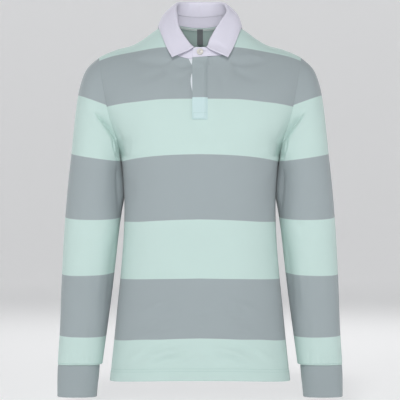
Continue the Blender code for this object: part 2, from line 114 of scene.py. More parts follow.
# Values of a grid at fractional rows and columns, by bilinear reading
def onGrid(grid, row, column):
    row, column = np.broadcast_arrays(np.asarray(row, float), np.asarray(column, float))
    row = np.clip(row, 0, grid.shape[0] - 1.000001)
    column = np.clip(column, 0, grid.shape[1] - 1.000001)
    r, c = row.astype(int), column.astype(int)
    s, t = (row - r)[..., None], (column - c)[..., None]
    low = mix(grid[r, c], grid[r, c + 1], t)
    return mix(low, mix(grid[r + 1, c], grid[r + 1, c + 1], t), s)


# Rows and columns of a grid where x and z have given values: the nearest point, then Newton steps
def placeOn(grid, x, z):
    x, z = np.broadcast_arrays(np.asarray(x, float), np.asarray(z, float))
    flat = grid.reshape(-1, 3)
    off = (flat[:, 0] - x.reshape(-1, 1)) ** 2 + (flat[:, 2] - z.reshape(-1, 1)) ** 2
    nearest = off.argmin(1).reshape(x.shape)
    row, column = (nearest // grid.shape[1]).astype(float), (nearest % grid.shape[1]).astype(float)
    for _ in range(6):
        here = onGrid(grid, row, column)
        up = (onGrid(grid, row + 0.25, column) - onGrid(grid, row - 0.25, column)) * 2
        across = (onGrid(grid, row, column + 0.25) - onGrid(grid, row, column - 0.25)) * 2
        dx, dz = x - here[..., 0], z - here[..., 2]
        size = across[..., 0] * up[..., 2] - across[..., 2] * up[..., 0]
        size = np.where(np.abs(size) < 1e-6, 1e-6, size)
        column = column + np.clip((dx * up[..., 2] - dz * up[..., 0]) / size, -2, 2)
        row = row + np.clip((across[..., 0] * dz - across[..., 2] * dx) / size, -2, 2)
        row, column = np.clip(row, 0, grid.shape[0] - 1), np.clip(column, 0, grid.shape[1] - 1)
    return row, column


# Soft troughs (depth below 0) and ridges along curved paths of two coordinates: a bell across each
# path, wider on one side where it leans and creased where its power is under 2, and an ease in and
# out over its fades
def foldField(a, b, folds):
    total = np.zeros(a.shape)
    for fold in folds:
        path = curve(np.linspace(0, len(fold["path"]) - 1, 17), fold["path"])
        run = np.diff(path, axis=0)
        length = np.maximum(np.hypot(*run.T), 1e-6)
        lean, margin = fold.get("lean", 0), fold["width"] * 3.5
        first, last = fold.get("fade", (0.5, 0.5))
        for side in (1, -1) if "pair" in fold else (1,):
            low, high = path.min(0) - margin, path.max(0) + margin
            close = (side * a > low[0]) & (side * a < high[0]) & (b > low[1]) & (b < high[1])
            offA, offB = side * a[close][:, None] - path[:-1, 0], b[close][:, None] - path[:-1, 1]
            along = np.clip((offA * run[:, 0] + offB * run[:, 1]) / length ** 2, 0, 1)
            away = np.hypot(offA - along * run[:, 0], offB - along * run[:, 1])
            near = away.argmin(-1)[:, None]
            leftward = (run[:, 0] * offB - run[:, 1] * offA) > 0
            away, along, leftward = (np.take_along_axis(v, near, -1)[:, 0] for v in (away, along, leftward))
            along = (along + near[:, 0]) / len(run)
            width = fold["width"] * np.where(leftward, 1 + lean, 1 - lean)
            size = fold["depth"] * (fold["pair"] if side < 0 else 1)
            bell = np.exp(-((away / width) ** fold.get("power", 2)))
            total[close] += size * bell * ease(along / first) * ease((1 - along) / last)
    return total


# Sum of a few long sines in two directions, for cloth that is never quite smooth
def unevenness(a, b, size, seed):
    turns = np.random.default_rng(seed).uniform(0, 2 * math.pi, (6, 2))
    total = np.zeros(np.broadcast(a, b).shape)
    for k, (phase, heading) in enumerate(turns):
        pitch = 46 + 17 * k
        total += np.sin((a * math.cos(heading) + b * math.sin(heading)) * 2 * math.pi / pitch + phase)
    return size * total / 6


# Meshes

def quadMesh(name, points, quads, material, uv=None, band=None):
    mesh = bpy.data.meshes.new(name)
    mesh.vertices.add(len(points))
    mesh.vertices.foreach_set("co", (points * mm).astype(np.float32).ravel())
    mesh.loops.add(quads.size)
    mesh.loops.foreach_set("vertex_index", quads.astype(np.int32).ravel())
    mesh.polygons.add(len(quads))
    mesh.polygons.foreach_set("loop_start", np.arange(0, quads.size, 4, dtype=np.int32))
    mesh.polygons.foreach_set("use_smooth", np.ones(len(quads), bool))
    if uv is not None:
        mesh.uv_layers.new(name="cloth").data.foreach_set("uv", uv.astype(np.float32).ravel())
    if band is not None:
        layer = mesh.attributes.new("band", "FLOAT", "POINT")
        layer.data.foreach_set("value", band.astype(np.float32).ravel())
    mesh.update(calc_edges=True)
    mesh.validate()
    mesh.materials.append(material)
    piece = bpy.data.objects.new(name, mesh)
    bpy.context.scene.collection.objects.link(piece)
    return piece


# A closed thin shell: the grid is its outer face, the inner face lies a wall further in along the
# normals, and a half-oval rim joins them, as far out as rim * wall / 2 on free edges and hardly at all
# on sewn ones.
# The sewn edges are named by their row or column: first or last row, first or last column
def clothPiece(name, grid, wall, material, closed=False, flip=False, band=None, sewn=(), rim=1.0, rimSteps=3):
    rows, columns = grid.shape[:2]
    normals = gridNormals(grid, closed, flip)
    u, v = gridLengths(grid, closed)
    outward = np.zeros_like(grid)
    reach = {edge: 0.03 if edge in sewn else rim * wall / 2 for edge in ("firstRow", "lastRow", "sides")}
    outward[0] += unit(grid[0] - grid[1]) * reach["firstRow"]
    outward[-1] += unit(grid[-1] - grid[-2]) * reach["lastRow"]
    if not closed:
        outward[:, 0] += unit(grid[:, 0] - grid[:, 1]) * reach["sides"]
        outward[:, -1] += unit(grid[:, -1] - grid[:, -2]) * reach["sides"]
    outer = grid - outward
    inner = outer - normals * wall
    count = rows * columns
    index = np.arange(count).reshape(rows, columns)
    wide = np.concatenate([index, index[:, :1]], 1) if closed else index
    uv = np.stack([u, v], -1) * mm
    corners = ((slice(None, -1), slice(None, -1)), (slice(None, -1), slice(1, None)),
               (slice(1, None), slice(1, None)), (slice(1, None), slice(None, -1)))
    face = np.stack([wide[c] for c in corners], -1).reshape(-1, 4)
    faceUv = np.stack([uv[c] for c in corners], -2).reshape(-1, 4, 2)
    points, quads, uvs = [outer.reshape(-1, 3), inner.reshape(-1, 3)], [face], [faceUv]
    quads.append(face[:, ::-1] + count)
    uvs.append(faceUv[:, ::-1])
    if closed:
        loops = [index[0], index[-1][::-1]]
    else:
        loops = [np.concatenate([index[0, :-1], index[:-1, -1], index[-1, :0:-1], index[:0:-1, 0]])]
    bands = [] if band is None else [band.ravel(), band.ravel()]
    flatUv = uv[:, :columns].reshape(-1, 2)
    made = 2 * count
    for loop in loops:
        middle = (outer.reshape(-1, 3)[loop] + inner.reshape(-1, 3)[loop]) / 2
        rings = [loop]
        for turn in np.arange(1, rimSteps + 1) * math.pi / (rimSteps + 1):
            lift = wall / 2 * math.cos(turn) * normals.reshape(-1, 3)[loop]
            points.append(middle + lift + math.sin(turn) * outward.reshape(-1, 3)[loop])
            rings.append(np.arange(made, made + len(loop)))
            made += len(loop)
            if band is not None:
                bands.append(band.ravel()[loop])
        rings.append(loop + count)
        loopUv = flatUv[loop]
        for low, high in zip(rings[:-1], rings[1:]):
            quads.append(np.stack([np.roll(low, -1), low, high, np.roll(high, -1)], -1))
            nextUv = np.roll(loopUv, -1, 0)
            uvs.append(np.stack([nextUv, loopUv, loopUv, nextUv], 1))
    quads, uvs = np.concatenate(quads), np.concatenate(uvs)
    if flip:
        quads, uvs = quads[:, ::-1], uvs[:, ::-1]
    band = None if band is None else np.concatenate(bands)
    piece = quadMesh(name, np.concatenate(points), quads, material, uvs, band)
    edges = {"firstRow": index[0], "lastRow": index[-1], "sides": index[:, [0, -1]].ravel()}
    face = np.zeros(len(piece.data.vertices), int)
    for edge in sewn:
        face[edges[edge]], face[edges[edge] + count] = 1, 2
    ends = np.zeros(len(piece.data.edges) * 2, np.int32)
    piece.data.edges.foreach_get("vertices", ends)
    first, second = face[ends.reshape(-1, 2)].T
    sharp = piece.data.attributes.new("sharp_edge", "BOOLEAN", "EDGE")
    sharp.data.foreach_set("value", (first > 0) & (first == second))
    return piece


# Stitches: equal short rods along a path, six-sided, round-ended, half sunk in the cloth
def stitchRow(path, normals, stitch):
    steps = np.linalg.norm(np.diff(path, axis=0), axis=1)
    along = np.concatenate([[0], steps.cumsum()])
    count = max(int(along[-1] / (stitch["length"] + stitch["gap"])), 1)
    pitch = along[-1] / count
    at = (np.arange(count) + 0.5) * pitch
    half = (pitch - stitch["gap"]) / 2
    ends = [np.stack([np.interp(at + s, along, path[:, i]) for i in range(3)], -1) for s in (-half, half)]
    centre = (ends[0] + ends[1]) / 2
    tangent = unit(ends[1] - ends[0])
    up = np.stack([np.interp(at, along, normals[:, i]) for i in range(3)], -1)
    up = unit(up - (up * tangent).sum(1, keepdims=True) * tangent)
    side = np.cross(tangent, up)
    place = np.array([-1, -0.72, 0.72, 1])
    swell = np.array([0.45, 1, 1, 0.45]) * stitch["radius"]
    turn = np.arange(6) * math.pi / 3
    rod = (
        centre[:, None, None] + tangent[:, None, None] * (place * half)[None, :, None, None]
        + side[:, None, None] * (swell[:, None] * np.cos(turn))[None, :, :, None]
        + up[:, None, None] * (swell[:, None] * np.sin(turn) * 0.8)[None, :, :, None]
    )
    ring = np.arange(6)
    after = np.roll(ring, -1)
    sides = [np.stack([ring + 6 * k, ring + 6 * k + 6, after + 6 * k + 6, after + 6 * k], -1) for k in range(3)]
    caps = np.array([[0, 1, 2, 3], [0, 3, 4, 5], [21, 20, 19, 18], [23, 22, 21, 18]])
    quads = np.concatenate([*sides, caps])[None] + 24 * np.arange(count)[:, None, None]
    return rod.reshape(-1, 3), quads.reshape(-1, 4)


def stitchPiece(name, rows, stitch, material):
    points, quads, made = [], [], 0
    for path, normals in rows:
        rod, face = stitchRow(path, normals, stitch)
        points.append(rod)
        quads.append(face + made)
        made += len(rod)
    return quadMesh(name, np.concatenate(points), np.concatenate(quads), material)


# Shader node helpers

def operate(tree, kind, *values, clamp=False):
    node = tree.nodes.new("ShaderNodeMath")
    node.operation = kind
    node.use_clamp = clamp
    for socket, value in zip(node.inputs, values):
        if isinstance(value, bpy.types.NodeSocket):
            tree.links.new(value, socket)
        else:
            socket.default_value = value
    return node.outputs[0]


def blendColour(tree, share, first, second, kind="MIX"):
    node = tree.nodes.new("ShaderNodeMix")
    node.data_type = "RGBA"
    node.blend_type = kind
    for socket, value in ((node.inputs[0], share), (node.inputs[6], first), (node.inputs[7], second)):
        if isinstance(value, bpy.types.NodeSocket):
            tree.links.new(value, socket)
        else:
            socket.default_value = value
    return node.outputs[2]


def newGroup(name, inputs, outputs):
    tree = bpy.data.node_groups.new(name, "ShaderNodeTree")
    for label, kind, value in inputs:
        socket = tree.interface.new_socket(name=label, in_out="INPUT", socket_type=kind)
        if value is not None:
            socket.default_value = value
    for label in outputs:
        tree.interface.new_socket(name=label, in_out="OUTPUT", socket_type="NodeSocketFloat")
    return tree, tree.nodes.new("NodeGroupInput"), tree.nodes.new("NodeGroupOutput")


def placeGroup(tree, group, vector=None, **values):
    node = tree.nodes.new("ShaderNodeGroup")
    node.node_tree = group
    if vector is not None:
        tree.links.new(vector, node.inputs["Vector"])
    for name, value in values.items():
        node.inputs[name].default_value = value
    return node


# Jersey: columns of V stitches. Across a column the height falls from its middle, and along it the
# legs rise and sink as a cosine that runs later towards the column's sides
def makeKnitGroup():
    tree, given, out = newGroup(
        "jerseyKnit",
        [("Vector", "NodeSocketVector", None), ("Wale", "NodeSocketFloat", 0.001),
         ("Course", "NodeSocketFloat", 0.0009)],
        ["Height", "Shade"],
    )
    parts = tree.nodes.new("ShaderNodeSeparateXYZ")
    tree.links.new(given.outputs["Vector"], parts.inputs[0])
    column = operate(tree, "DIVIDE", parts.outputs[0], given.outputs["Wale"])
    off = operate(tree, "SUBTRACT", operate(tree, "FRACT", column), 0.5)
    off = operate(tree, "MULTIPLY", operate(tree, "ABSOLUTE", off), 2.0)
    row = operate(tree, "DIVIDE", parts.outputs[1], given.outputs["Course"])
    row = operate(tree, "ADD", row, operate(tree, "MULTIPLY", off, 0.5))
    leg = operate(tree, "COSINE", operate(tree, "MULTIPLY", row, 2 * math.pi))
    leg = operate(tree, "MULTIPLY_ADD", leg, 0.3, 0.7)
    crown = operate(tree, "SUBTRACT", 1.0, operate(tree, "POWER", off, 2.5))
    height = operate(tree, "MULTIPLY", leg, crown)
    tree.links.new(height, out.inputs["Height"])
    # Shade: painted shade, the colour darkening where the knit's height is low, in the hollows between stitches
    tree.links.new(operate(tree, "MULTIPLY_ADD", height, 0.12, 0.92), out.inputs["Shade"])
    return tree


# Twill: diagonal ribs as a sine of the two directions' sum, broken by the yarns that cross them
def makeTwillGroup():
    tree, given, out = newGroup(
        "twillWeave",
        [("Vector", "NodeSocketVector", None), ("Pitch", "NodeSocketFloat", 0.0008)],
        ["Height", "Shade"],
    )
    parts = tree.nodes.new("ShaderNodeSeparateXYZ")
    tree.links.new(given.outputs["Vector"], parts.inputs[0])
    turns = operate(tree, "DIVIDE", 2 * math.pi, given.outputs["Pitch"])
    slant = operate(tree, "ADD", parts.outputs[0], parts.outputs[1])
    rib = operate(tree, "SINE", operate(tree, "MULTIPLY", slant, turns))
    yarn = operate(tree, "SINE", operate(tree, "MULTIPLY", parts.outputs[0], operate(tree, "MULTIPLY", turns, 2.0)))
    height = operate(tree, "MULTIPLY_ADD", rib, 0.35, operate(tree, "MULTIPLY_ADD", yarn, 0.15, 0.5))
    tree.links.new(height, out.inputs["Height"])
    # Shade: painted shade, darker in the hollows between the twill's ribs
    tree.links.new(operate(tree, "MULTIPLY_ADD", height, 0.06, 0.965), out.inputs["Shade"])
    return tree


# Fine rib: upright cords as a sine across the cloth
def makeRibGroup():
    tree, given, out = newGroup(
        "fineRib",
        [("Vector", "NodeSocketVector", None), ("Pitch", "NodeSocketFloat", 0.0014)],
        ["Height", "Shade"],
    )
    parts = tree.nodes.new("ShaderNodeSeparateXYZ")
    tree.links.new(given.outputs["Vector"], parts.inputs[0])
    turns = operate(tree, "DIVIDE", 2 * math.pi, given.outputs["Pitch"])
    cord = operate(tree, "SINE", operate(tree, "MULTIPLY", parts.outputs[0], turns))
    height = operate(tree, "MULTIPLY_ADD", cord, 0.5, 0.5)
    tree.links.new(height, out.inputs["Height"])
    # Shade: painted shade, darker in the grooves between the cords
    tree.links.new(operate(tree, "MULTIPLY_ADD", height, 0.08, 0.94), out.inputs["Shade"])
    return tree


# Cloth's uneven colour: a cloudy noise and a fine one, added and centred on 1
def makeMottleGroup():
    tree, given, out = newGroup(
        "mottle",
        [("Vector", "NodeSocketVector", None), ("Cloud", "NodeSocketFloat", 9.0),
         ("Grain", "NodeSocketFloat", 900.0), ("Amount", "NodeSocketFloat", 0.04)],
        ["Shade"],
    )
    shades = []
    for label in ("Cloud", "Grain"):
        noise = tree.nodes.new("ShaderNodeTexNoise")
        noise.inputs["Detail"].default_value = 2.0
        tree.links.new(given.outputs["Vector"], noise.inputs["Vector"])
        tree.links.new(given.outputs[label], noise.inputs["Scale"])
        shades.append(operate(tree, "SUBTRACT", noise.outputs["Fac"], 0.5))
    both = operate(tree, "ADD", shades[0], shades[1])
    shade = operate(tree, "MULTIPLY_ADD", both, given.outputs["Amount"], 1.0)
    tree.links.new(shade, out.inputs["Shade"])
    return tree


knitGroup, twillGroup, ribGroup, mottleGroup = makeKnitGroup(), makeTwillGroup(), makeRibGroup(), makeMottleGroup()


def linear(colour):
    return tuple(((c / 255 + 0.055) / 1.055) ** 2.4 for c in colour) + (1.0,)


# A cloth finish: a weave group on the piece's own cloth coordinates, times mottle, over one colour
# or over two that change wherever the band attribute passes a whole number
def clothMaterial(name, look):
    made = bpy.data.materials.new(name)
    made.use_nodes = True
    tree = made.node_tree
    shader = tree.nodes["Principled BSDF"]
    flat = tree.nodes.new("ShaderNodeUVMap")
    flat.uv_map = "cloth"
    place = tree.nodes.new("ShaderNodeTexCoord")
    weave = placeGroup(tree, look["weave"], flat.outputs[0], **look["scale"])
    mottle = placeGroup(tree, mottleGroup, place.outputs["Object"], Amount=look["mottle"])
    colour = linear(look["colours"][0])
    if len(look["colours"]) > 1:
        band = tree.nodes.new("ShaderNodeAttribute")
        band.attribute_name = "band"
        odd = operate(tree, "FRACT", operate(tree, "MULTIPLY", band.outputs["Fac"], 0.5))
        odd = operate(tree, "GREATER_THAN", odd, 0.5)
        colour = blendColour(tree, odd, colour, linear(look["colours"][1]))
    # The weave's Shade is painted shade in its hollows; the mottle's Shade is the cloth's uneven colour
    shade = operate(tree, "MULTIPLY", weave.outputs["Shade"], mottle.outputs["Shade"])
    grey = tree.nodes.new("ShaderNodeCombineColor")
    for socket in grey.inputs:
        tree.links.new(shade, socket)
    colour = blendColour(tree, 1.0, colour, grey.outputs[0], "MULTIPLY")
    tree.links.new(colour, shader.inputs["Base Color"])
    bump = tree.nodes.new("ShaderNodeBump")
    bump.inputs["Strength"].default_value = look["relief"]
    bump.inputs["Distance"].default_value = look["depth"]
    tree.links.new(weave.outputs["Height"], bump.inputs["Height"])
    tree.links.new(bump.outputs[0], shader.inputs["Normal"])
    shader.inputs["Roughness"].default_value = look["roughness"]
    shader.inputs["Specular IOR Level"].default_value = look["gloss"]
    shader.inputs["Sheen Weight"].default_value = look["sheen"]
    shader.inputs["Sheen Roughness"].default_value = 0.45
    shader.inputs["Sheen Tint"].default_value = (1, 1, 1, 1)
    return made


jerseyLook = {
    "colours": ((196, 218, 213), (160, 170, 173)), "weave": knitGroup, "scale": {"Wale": 0.0011, "Course": 0.0009},
    "mottle": 0.05, "relief": 0.35, "depth": 0.0002, "roughness": 0.9, "gloss": 0.2, "sheen": 0.2,
}
placketLook = {**jerseyLook, "colours": ((197, 220, 221), (160, 171, 174))}
cuffLook = {
    **jerseyLook, "colours": ((157, 167, 170),), "weave": ribGroup, "scale": {"Pitch": 0.0014},
}
tapeLook = {**jerseyLook, "colours": ((238, 247, 245),)}
collarLook = {
    "colours": ((213, 211, 224),), "weave": twillGroup, "scale": {"Pitch": 0.0008},
    "mottle": 0.03, "relief": 0.25, "depth": 0.0001, "roughness": 0.8, "gloss": 0.3, "sheen": 0.12,
}
underLook = {**collarLook, "colours": ((226, 231, 236),)}
labelLook = {
    "colours": ((130, 134, 137),), "weave": twillGroup, "scale": {"Pitch": 0.0006},
    "mottle": 0.08, "relief": 0.3, "depth": 0.0001, "roughness": 0.6, "gloss": 0.4, "sheen": 0.1,
}
jersey = clothMaterial("jersey", jerseyLook)
placketJersey = clothMaterial("placketJersey", placketLook)
cuffRib = clothMaterial("cuffRib", cuffLook)
tapeJersey = clothMaterial("tapeJersey", tapeLook)
collarTwill = clothMaterial("collarTwill", collarLook)
underTwill = clothMaterial("underTwill", underLook)
labelRibbon = clothMaterial("labelRibbon", labelLook)


# Thread: one colour with mottle, and a fine noise for its twist
def threadMaterial(name, colour):
    made = bpy.data.materials.new(name)
    made.use_nodes = True
    tree = made.node_tree
    shader = tree.nodes["Principled BSDF"]
    place = tree.nodes.new("ShaderNodeTexCoord")
    mottle = placeGroup(tree, mottleGroup, place.outputs["Object"], Amount=0.12)
    grey = tree.nodes.new("ShaderNodeCombineColor")
    for socket in grey.inputs:
        tree.links.new(mottle.outputs["Shade"], socket)
    colour = blendColour(tree, 1.0, linear(colour), grey.outputs[0], "MULTIPLY")
    tree.links.new(colour, shader.inputs["Base Color"])
    bump = tree.nodes.new("ShaderNodeBump")
    bump.inputs["Strength"].default_value = 0.3
    bump.inputs["Distance"].default_value = 0.0001
    tree.links.new(mottle.outputs["Shade"], bump.inputs["Height"])
    tree.links.new(bump.outputs[0], shader.inputs["Normal"])
    shader.inputs["Roughness"].default_value = 0.6
    shader.inputs["Sheen Weight"].default_value = 0.2
    return made


# Mint, grey and white thread, each set darker than the cloth it is sewn on: painted shade along the stitch lines
threadColoursWithPaintedShade = {"mint": (158, 194, 187), "grey": (124, 138, 141), "white": (204, 203, 214)}
threads = {name: threadMaterial(name + "Thread", colour) for name, colour in threadColoursWithPaintedShade.items()}
print("materials made")


# Body: front and back panels on one rounded figure

body = {
    "outline": {  # height: half width, reach to the front, reach to the back
        -706: (180.0, 114, 116), -640: (172.8, 111, 116), -560: (165.0, 108, 110),
        -480: (157.0, 108, 102), -410: (152.0, 111, 98), -350: (151.0, 116, 101),
        -300: (154.0, 121, 107), -262: (159.0, 124, 112), -232: (171.0, 124, 116),
        -190: (190.0, 122, 119), -130: (213.0, 113, 120), -64: (235.0, 92, 118),
        0: (250.0, 82, 112), 40: (256.0, 80, 106),
    },
    "shoulder": {  # distance from the middle: height of the shoulder line
        0: 22, 40: 18, 66: 9, 83: -4, 95: -12, 111: -24, 131: -36, 167: -46.5, 203: -62.5, 240: -90,
    },
    "armhole": {0.0: 159, 0.1: 164, 0.25: 178, 0.45: 189, 0.7: 198, 1.0: 203},  # share of its height: distance
    "backArmhole": 5, "armpit": -262, "hem": -706, "hemRise": 7, "riseFrom": -420, "ridgeBack": 8,
    "round": 2.5, "crown": 2.6, "turnPower": 1.3, "neckHalf": 66, "neckDrop": (86, 20), "neckCurve": (1.6, 2),
    "neckAngles": (90, 77, 64, 51, 38, 26), "shoulderColumns": 6, "middle": 15, "edgePower": 3,
    "wall": 1.4, "seam": 0.03, "ridgeSeam": 0.1, "fine": 6, "yokeRows": 88, "waistRows": 110,
    "hemBand": (26, 0.35), "hemLines": (18.6, 24.0), "hemGroove": (0.9, 1.5), "seamDip": (2.2, 0.45),
}
frontFolds = (  # paths of x and z seen from the front; pair gives the other side's share of depth
    # from the armpits: the deep trough over each sleeve's front, its pinches and its drags
    {"path": ((212, -168), (196, -187), (181, -205), (169, -223), (161.5, -243), (158, -266)), "width": 6.4,
     "depth": -12.0, "lean": -0.66, "power": 1.2, "fade": (0.3, 0.04), "pair": 0.95},
    {"path": ((214, -182), (198, -198), (185, -214), (175, -232), (169, -250)), "width": 6.0, "depth": 2.4,
     "pair": 0.9},
    {"path": ((174, -214), (170.5, -232), (168, -248), (161, -268)), "width": 2.6, "depth": -3.8,
     "fade": (0.4, 0.1), "pair": 1.0},
    {"path": ((163.5, -226), (160.5, -242), (157, -262)), "width": 2.4, "depth": -3.4, "fade": (0.4, 0.1),
     "pair": 0.8},
    {"path": ((171, -236), (167, -252), (163, -266)), "width": 3.0, "depth": 1.2, "pair": 1.1},
    {"path": ((160, -270), (158.5, -320), (158.5, -370), (161, -412)), "width": 3.4, "depth": -2.0,
     "fade": (0.3, 0.6), "pair": 1.0},
    {"path": ((163, -250), (162, -318), (166, -404)), "width": 18.0, "depth": -7.0, "lean": 0.35,
     "fade": (0.4, 0.5), "pair": 0.95},
    {"path": ((163, -400), (172, -500), (186, -600)), "width": 12.0, "depth": -5.0, "lean": 0.6,
     "fade": (0.3, 0.4), "pair": 0.9},
    {"path": ((205, -250), (208, -300), (203, -352)), "width": 13.0, "depth": 0.9, "pair": 1.1},
    {"path": ((222, -196), (212, -236), (210, -290)), "width": 12.0, "depth": -0.9, "pair": 0.8},
    {"path": ((176, -372), (206, -402), (238, -408)), "width": 8.0, "depth": -1.3, "pair": 0.9},
    {"path": ((180, -396), (204, -424), (230, -430)), "width": 8.0, "depth": 1.0, "pair": 1.1},
    {"path": ((252, -330), (246, -372), (226, -410)), "width": 9.0, "depth": -1.0, "pair": 0.8},
    {"path": ((208, -446), (206, -500), (211, -560)), "width": 8.0, "depth": -1.2, "pair": 1.0},
    {"path": ((238, -456), (240, -520), (236, -590)), "width": 10.0, "depth": -0.9, "pair": 1.1},
    {"path": ((190, -470), (192, -530), (199, -592)), "width": 6.0, "depth": -1.3, "pair": 0.9},
    {"path": ((222, -566), (223, -610), (219, -652)), "width": 6.0, "depth": 0.9, "pair": 0.9},
    {"path": ((214, -640), (216, -656), (215, -672)), "width": 3.0, "depth": -1.0, "fade": (0.6, 0.1), "pair": 0.8},
    {"path": ((236, -646), (236, -660), (238, -672)), "width": 3.2, "depth": -0.9, "fade": (0.6, 0.1), "pair": 1.1},
    {"path": ((260, -642), (259, -658), (260, -672)), "width": 3.2, "depth": -1.0, "fade": (0.6, 0.1), "pair": 0.9},
    # on the chest: drags out from the collar tips and up from the armpits
    {"path": ((56, -72), (86, -80), (128, -70), (160, -66)), "width": 7.0, "depth": -2.6, "fade": (0.15, 0.7),
     "pair": 0.85},
    {"path": ((60, -84), (92, -104), (138, -118)), "width": 9.0, "depth": -2.1, "fade": (0.2, 0.7), "pair": 1.0},
    {"path": ((60, -64), (104, -62), (150, -78)), "width": 6.0, "depth": 1.6, "pair": 0.9},
    {"path": ((34, -88), (46, -120), (50, -168)), "width": 9.0, "depth": -1.3, "pair": 0.7},
    {"path": ((157, -246), (140, -226), (112, -214)), "width": 11.0, "depth": -2.7, "fade": (0.25, 0.7),
     "pair": 1.0},
    {"path": ((156, -262), (132, -256), (98, -264)), "width": 9.0, "depth": 1.8, "pair": 0.9},
    {"path": ((152, -286), (138, -320), (136, -372)), "width": 9.0, "depth": -2.2, "pair": 1.1},
    {"path": ((20, -70), (18, -78), (12, -84)), "width": 3.0, "depth": -1.6, "fade": (0.2, 0.6)},
    {"path": ((-16, -78), (-30, -86), (-52, -84)), "width": 4.5, "depth": -1.9, "fade": (0.1, 0.7)},
    {"path": ((-17, -96), (-32, -108), (-60, -112)), "width": 6.0, "depth": -1.3, "fade": (0.1, 0.7)},
    # low on the body: shallow chevrons, and arches over the hem
    {"path": ((28, -560), (70, -572), (118, -598)), "width": 6.0, "depth": -2.6, "pair": 0.8},
    {"path": ((44, -536), (84, -552), (132, -574)), "width": 7.0, "depth": 2.2, "pair": 1.2},
    {"path": ((40, -590), (82, -600), (140, -620)), "width": 6.0, "depth": 2.2, "pair": 0.9},
    {"path": ((-16, -572), (6, -576), (30, -572)), "width": 7.0, "depth": -1.9},
    {"path": ((4, -636), (60, -643), (126, -670)), "width": 7.0, "depth": 3.6, "pair": 0.9},
    {"path": ((8, -651), (64, -660), (130, -684)), "width": 6.0, "depth": -3.4, "pair": 1.1},
    {"path": ((36, -630), (90, -640), (136, -660)), "width": 5.0, "depth": -2.8, "pair": 1.0},
    {"path": ((92, -640), (124, -650), (150, -668)), "width": 6.0, "depth": 2.6, "pair": 0.7},
    {"path": ((-40, -662), (0, -656), (44, -664)), "width": 5.0, "depth": 2.2},
)
backFolds = (  # the same, seen through the shirt from the front
    {"path": ((206, -168), (190, -190), (172, -214), (161, -262)), "width": 8.0, "depth": -6.0, "lean": -0.3,
     "fade": (0.5, 0.05), "pair": 0.9},
    {"path": ((170, -220), (166, -240), (160, -262)), "width": 3.0, "depth": -3.0, "fade": (0.4, 0.1), "pair": 1.1},
    {"path": ((164, -272), (164, -330), (167, -400)), "width": 5.0, "depth": -3.0, "fade": (0.2, 0.6), "pair": 0.9},
    {"path": ((184, -276), (190, -330), (186, -380)), "width": 10.0, "depth": -2.4, "pair": 1.0},
    {"path": ((176, -368), (212, -392), (252, -396)), "width": 9.0, "depth": -3.0, "pair": 0.9},
    {"path": ((184, -398), (216, -420), (250, -424)), "width": 8.0, "depth": -2.4, "pair": 1.1},
    {"path": ((208, -470), (208, -540), (216, -610)), "width": 8.0, "depth": -2.0, "pair": 1.0},
    {"path": ((240, -640), (241, -656), (240, -672)), "width": 3.2, "depth": -1.5, "fade": (0.6, 0.1), "pair": 1.0},
    {"path": ((44, -46), (92, -92), (150, -150)), "width": 14.0, "depth": -3.0, "pair": 0.8},
    {"path": ((158, -250), (134, -214), (112, -160)), "width": 12.0, "depth": -3.6, "fade": (0.2, 0.7),
     "pair": 1.1},
    {"path": ((157, -264), (120, -250), (76, -262)), "width": 11.0, "depth": -2.4, "fade": (0.2, 0.7), "pair": 0.9},
    {"path": ((-122, -384), (-50, -404), (30, -404), (112, -388)), "width": 11.0, "depth": -3.4},
    {"path": ((-104, -416), (-40, -436), (40, -434), (124, -410)), "width": 12.0, "depth": -3.0},
    {"path": ((-80, -452), (0, -474), (92, -456)), "width": 11.0, "depth": -2.2},
    {"path": ((-118, -400), (-20, -421), (100, -402)), "width": 8.0, "depth": 1.7},
    {"path": ((36, -560), (86, -576), (138, -610)), "width": 9.0, "depth": -1.8, "pair": 0.8},
    {"path": ((20, -644), (70, -650), (124, -674)), "width": 6.0, "depth": 1.8, "pair": 1.1},
    {"path": ((10, -656), (60, -662), (116, -684)), "width": 5.0, "depth": -1.5, "pair": 0.9},
)


# Moves a grid by the folds of the side it faces. Inside, it moves along its normals and less where it
# is edge-on. Within 14 of a seam it turns to a plain forward or backward move, in equal measure on
# the pieces that meet there, and a groove sinks in along the seam
def drape(grid, normals, fromSeam, seamShare, isFront):
    x, z = grid[..., 0], grid[..., 2]
    ahead = foldField(x, z, frontFolds) + unevenness(x, z, 0.5, 5)
    behind = foldField(x, z, backFolds) + unevenness(x, z, 0.5, 3)
    inside = np.where(normals[..., 1] < 0, ahead, behind) * ease(np.abs(normals[..., 1]) / 0.45)
    atSeam = np.where(isFront, ahead, behind) * seamShare
    reach, drop = body["seamDip"]
    groove = drop * np.exp(-((fromSeam / reach) ** 2))
    share = ease(fromSeam / 14)
    plain = np.where(isFront, -1.0, 1.0) * (atSeam * (1 - share) - 0.4 * groove * seamShare)
    along = inside * share - groove * (1 - seamShare)
    return grid + normals * along[..., None] + plain[..., None] * np.array([0, 1.0, 0])


# Share of the seam's own move along an armhole, none at its two ends
def armholeFade(share):
    return ease(share / 0.1) * ease((1 - share) / 0.1)


bodyStripes = {  # distance from the middle: heights where the front changes colour
    0: (-46.0, -150.0, -258.0, -384.8, -499.8, -616.2),
    40: (-46.0, -150.1, -259.0, -385.6, -500.6, -617.2),
    80: (-46.8, -151.0, -261.0, -387.4, -501.2, -619.1),
    120: (-52.3, -154.8, -265.0, -389.8, -502.4, -620.3),
    150: (-57.2, -157.8, -269.7, -390.0, -503.0, -623.1),
    180: (-63.5, -162.4, -275.0, -390.0, -503.0, -625.0),
    205: (-72.0, -168.0, -280.0, -390.0, -503.0, -627.0),
}
backStripes = {  # and where the back does
    0: (-84.0, -166.0, -275.0, -391.5, -503.5, -624.0),
    60: (-82.0, -165.0, -274.0, -391.0, -503.4, -623.8),
    120: (-76.0, -163.0, -272.0, -390.4, -503.2, -623.4),
    180: (-70.0, -163.0, -275.0, -390.0, -503.0, -625.0),
    205: (-72.0, -168.0, -280.0, -390.0, -503.0, -627.0),
}


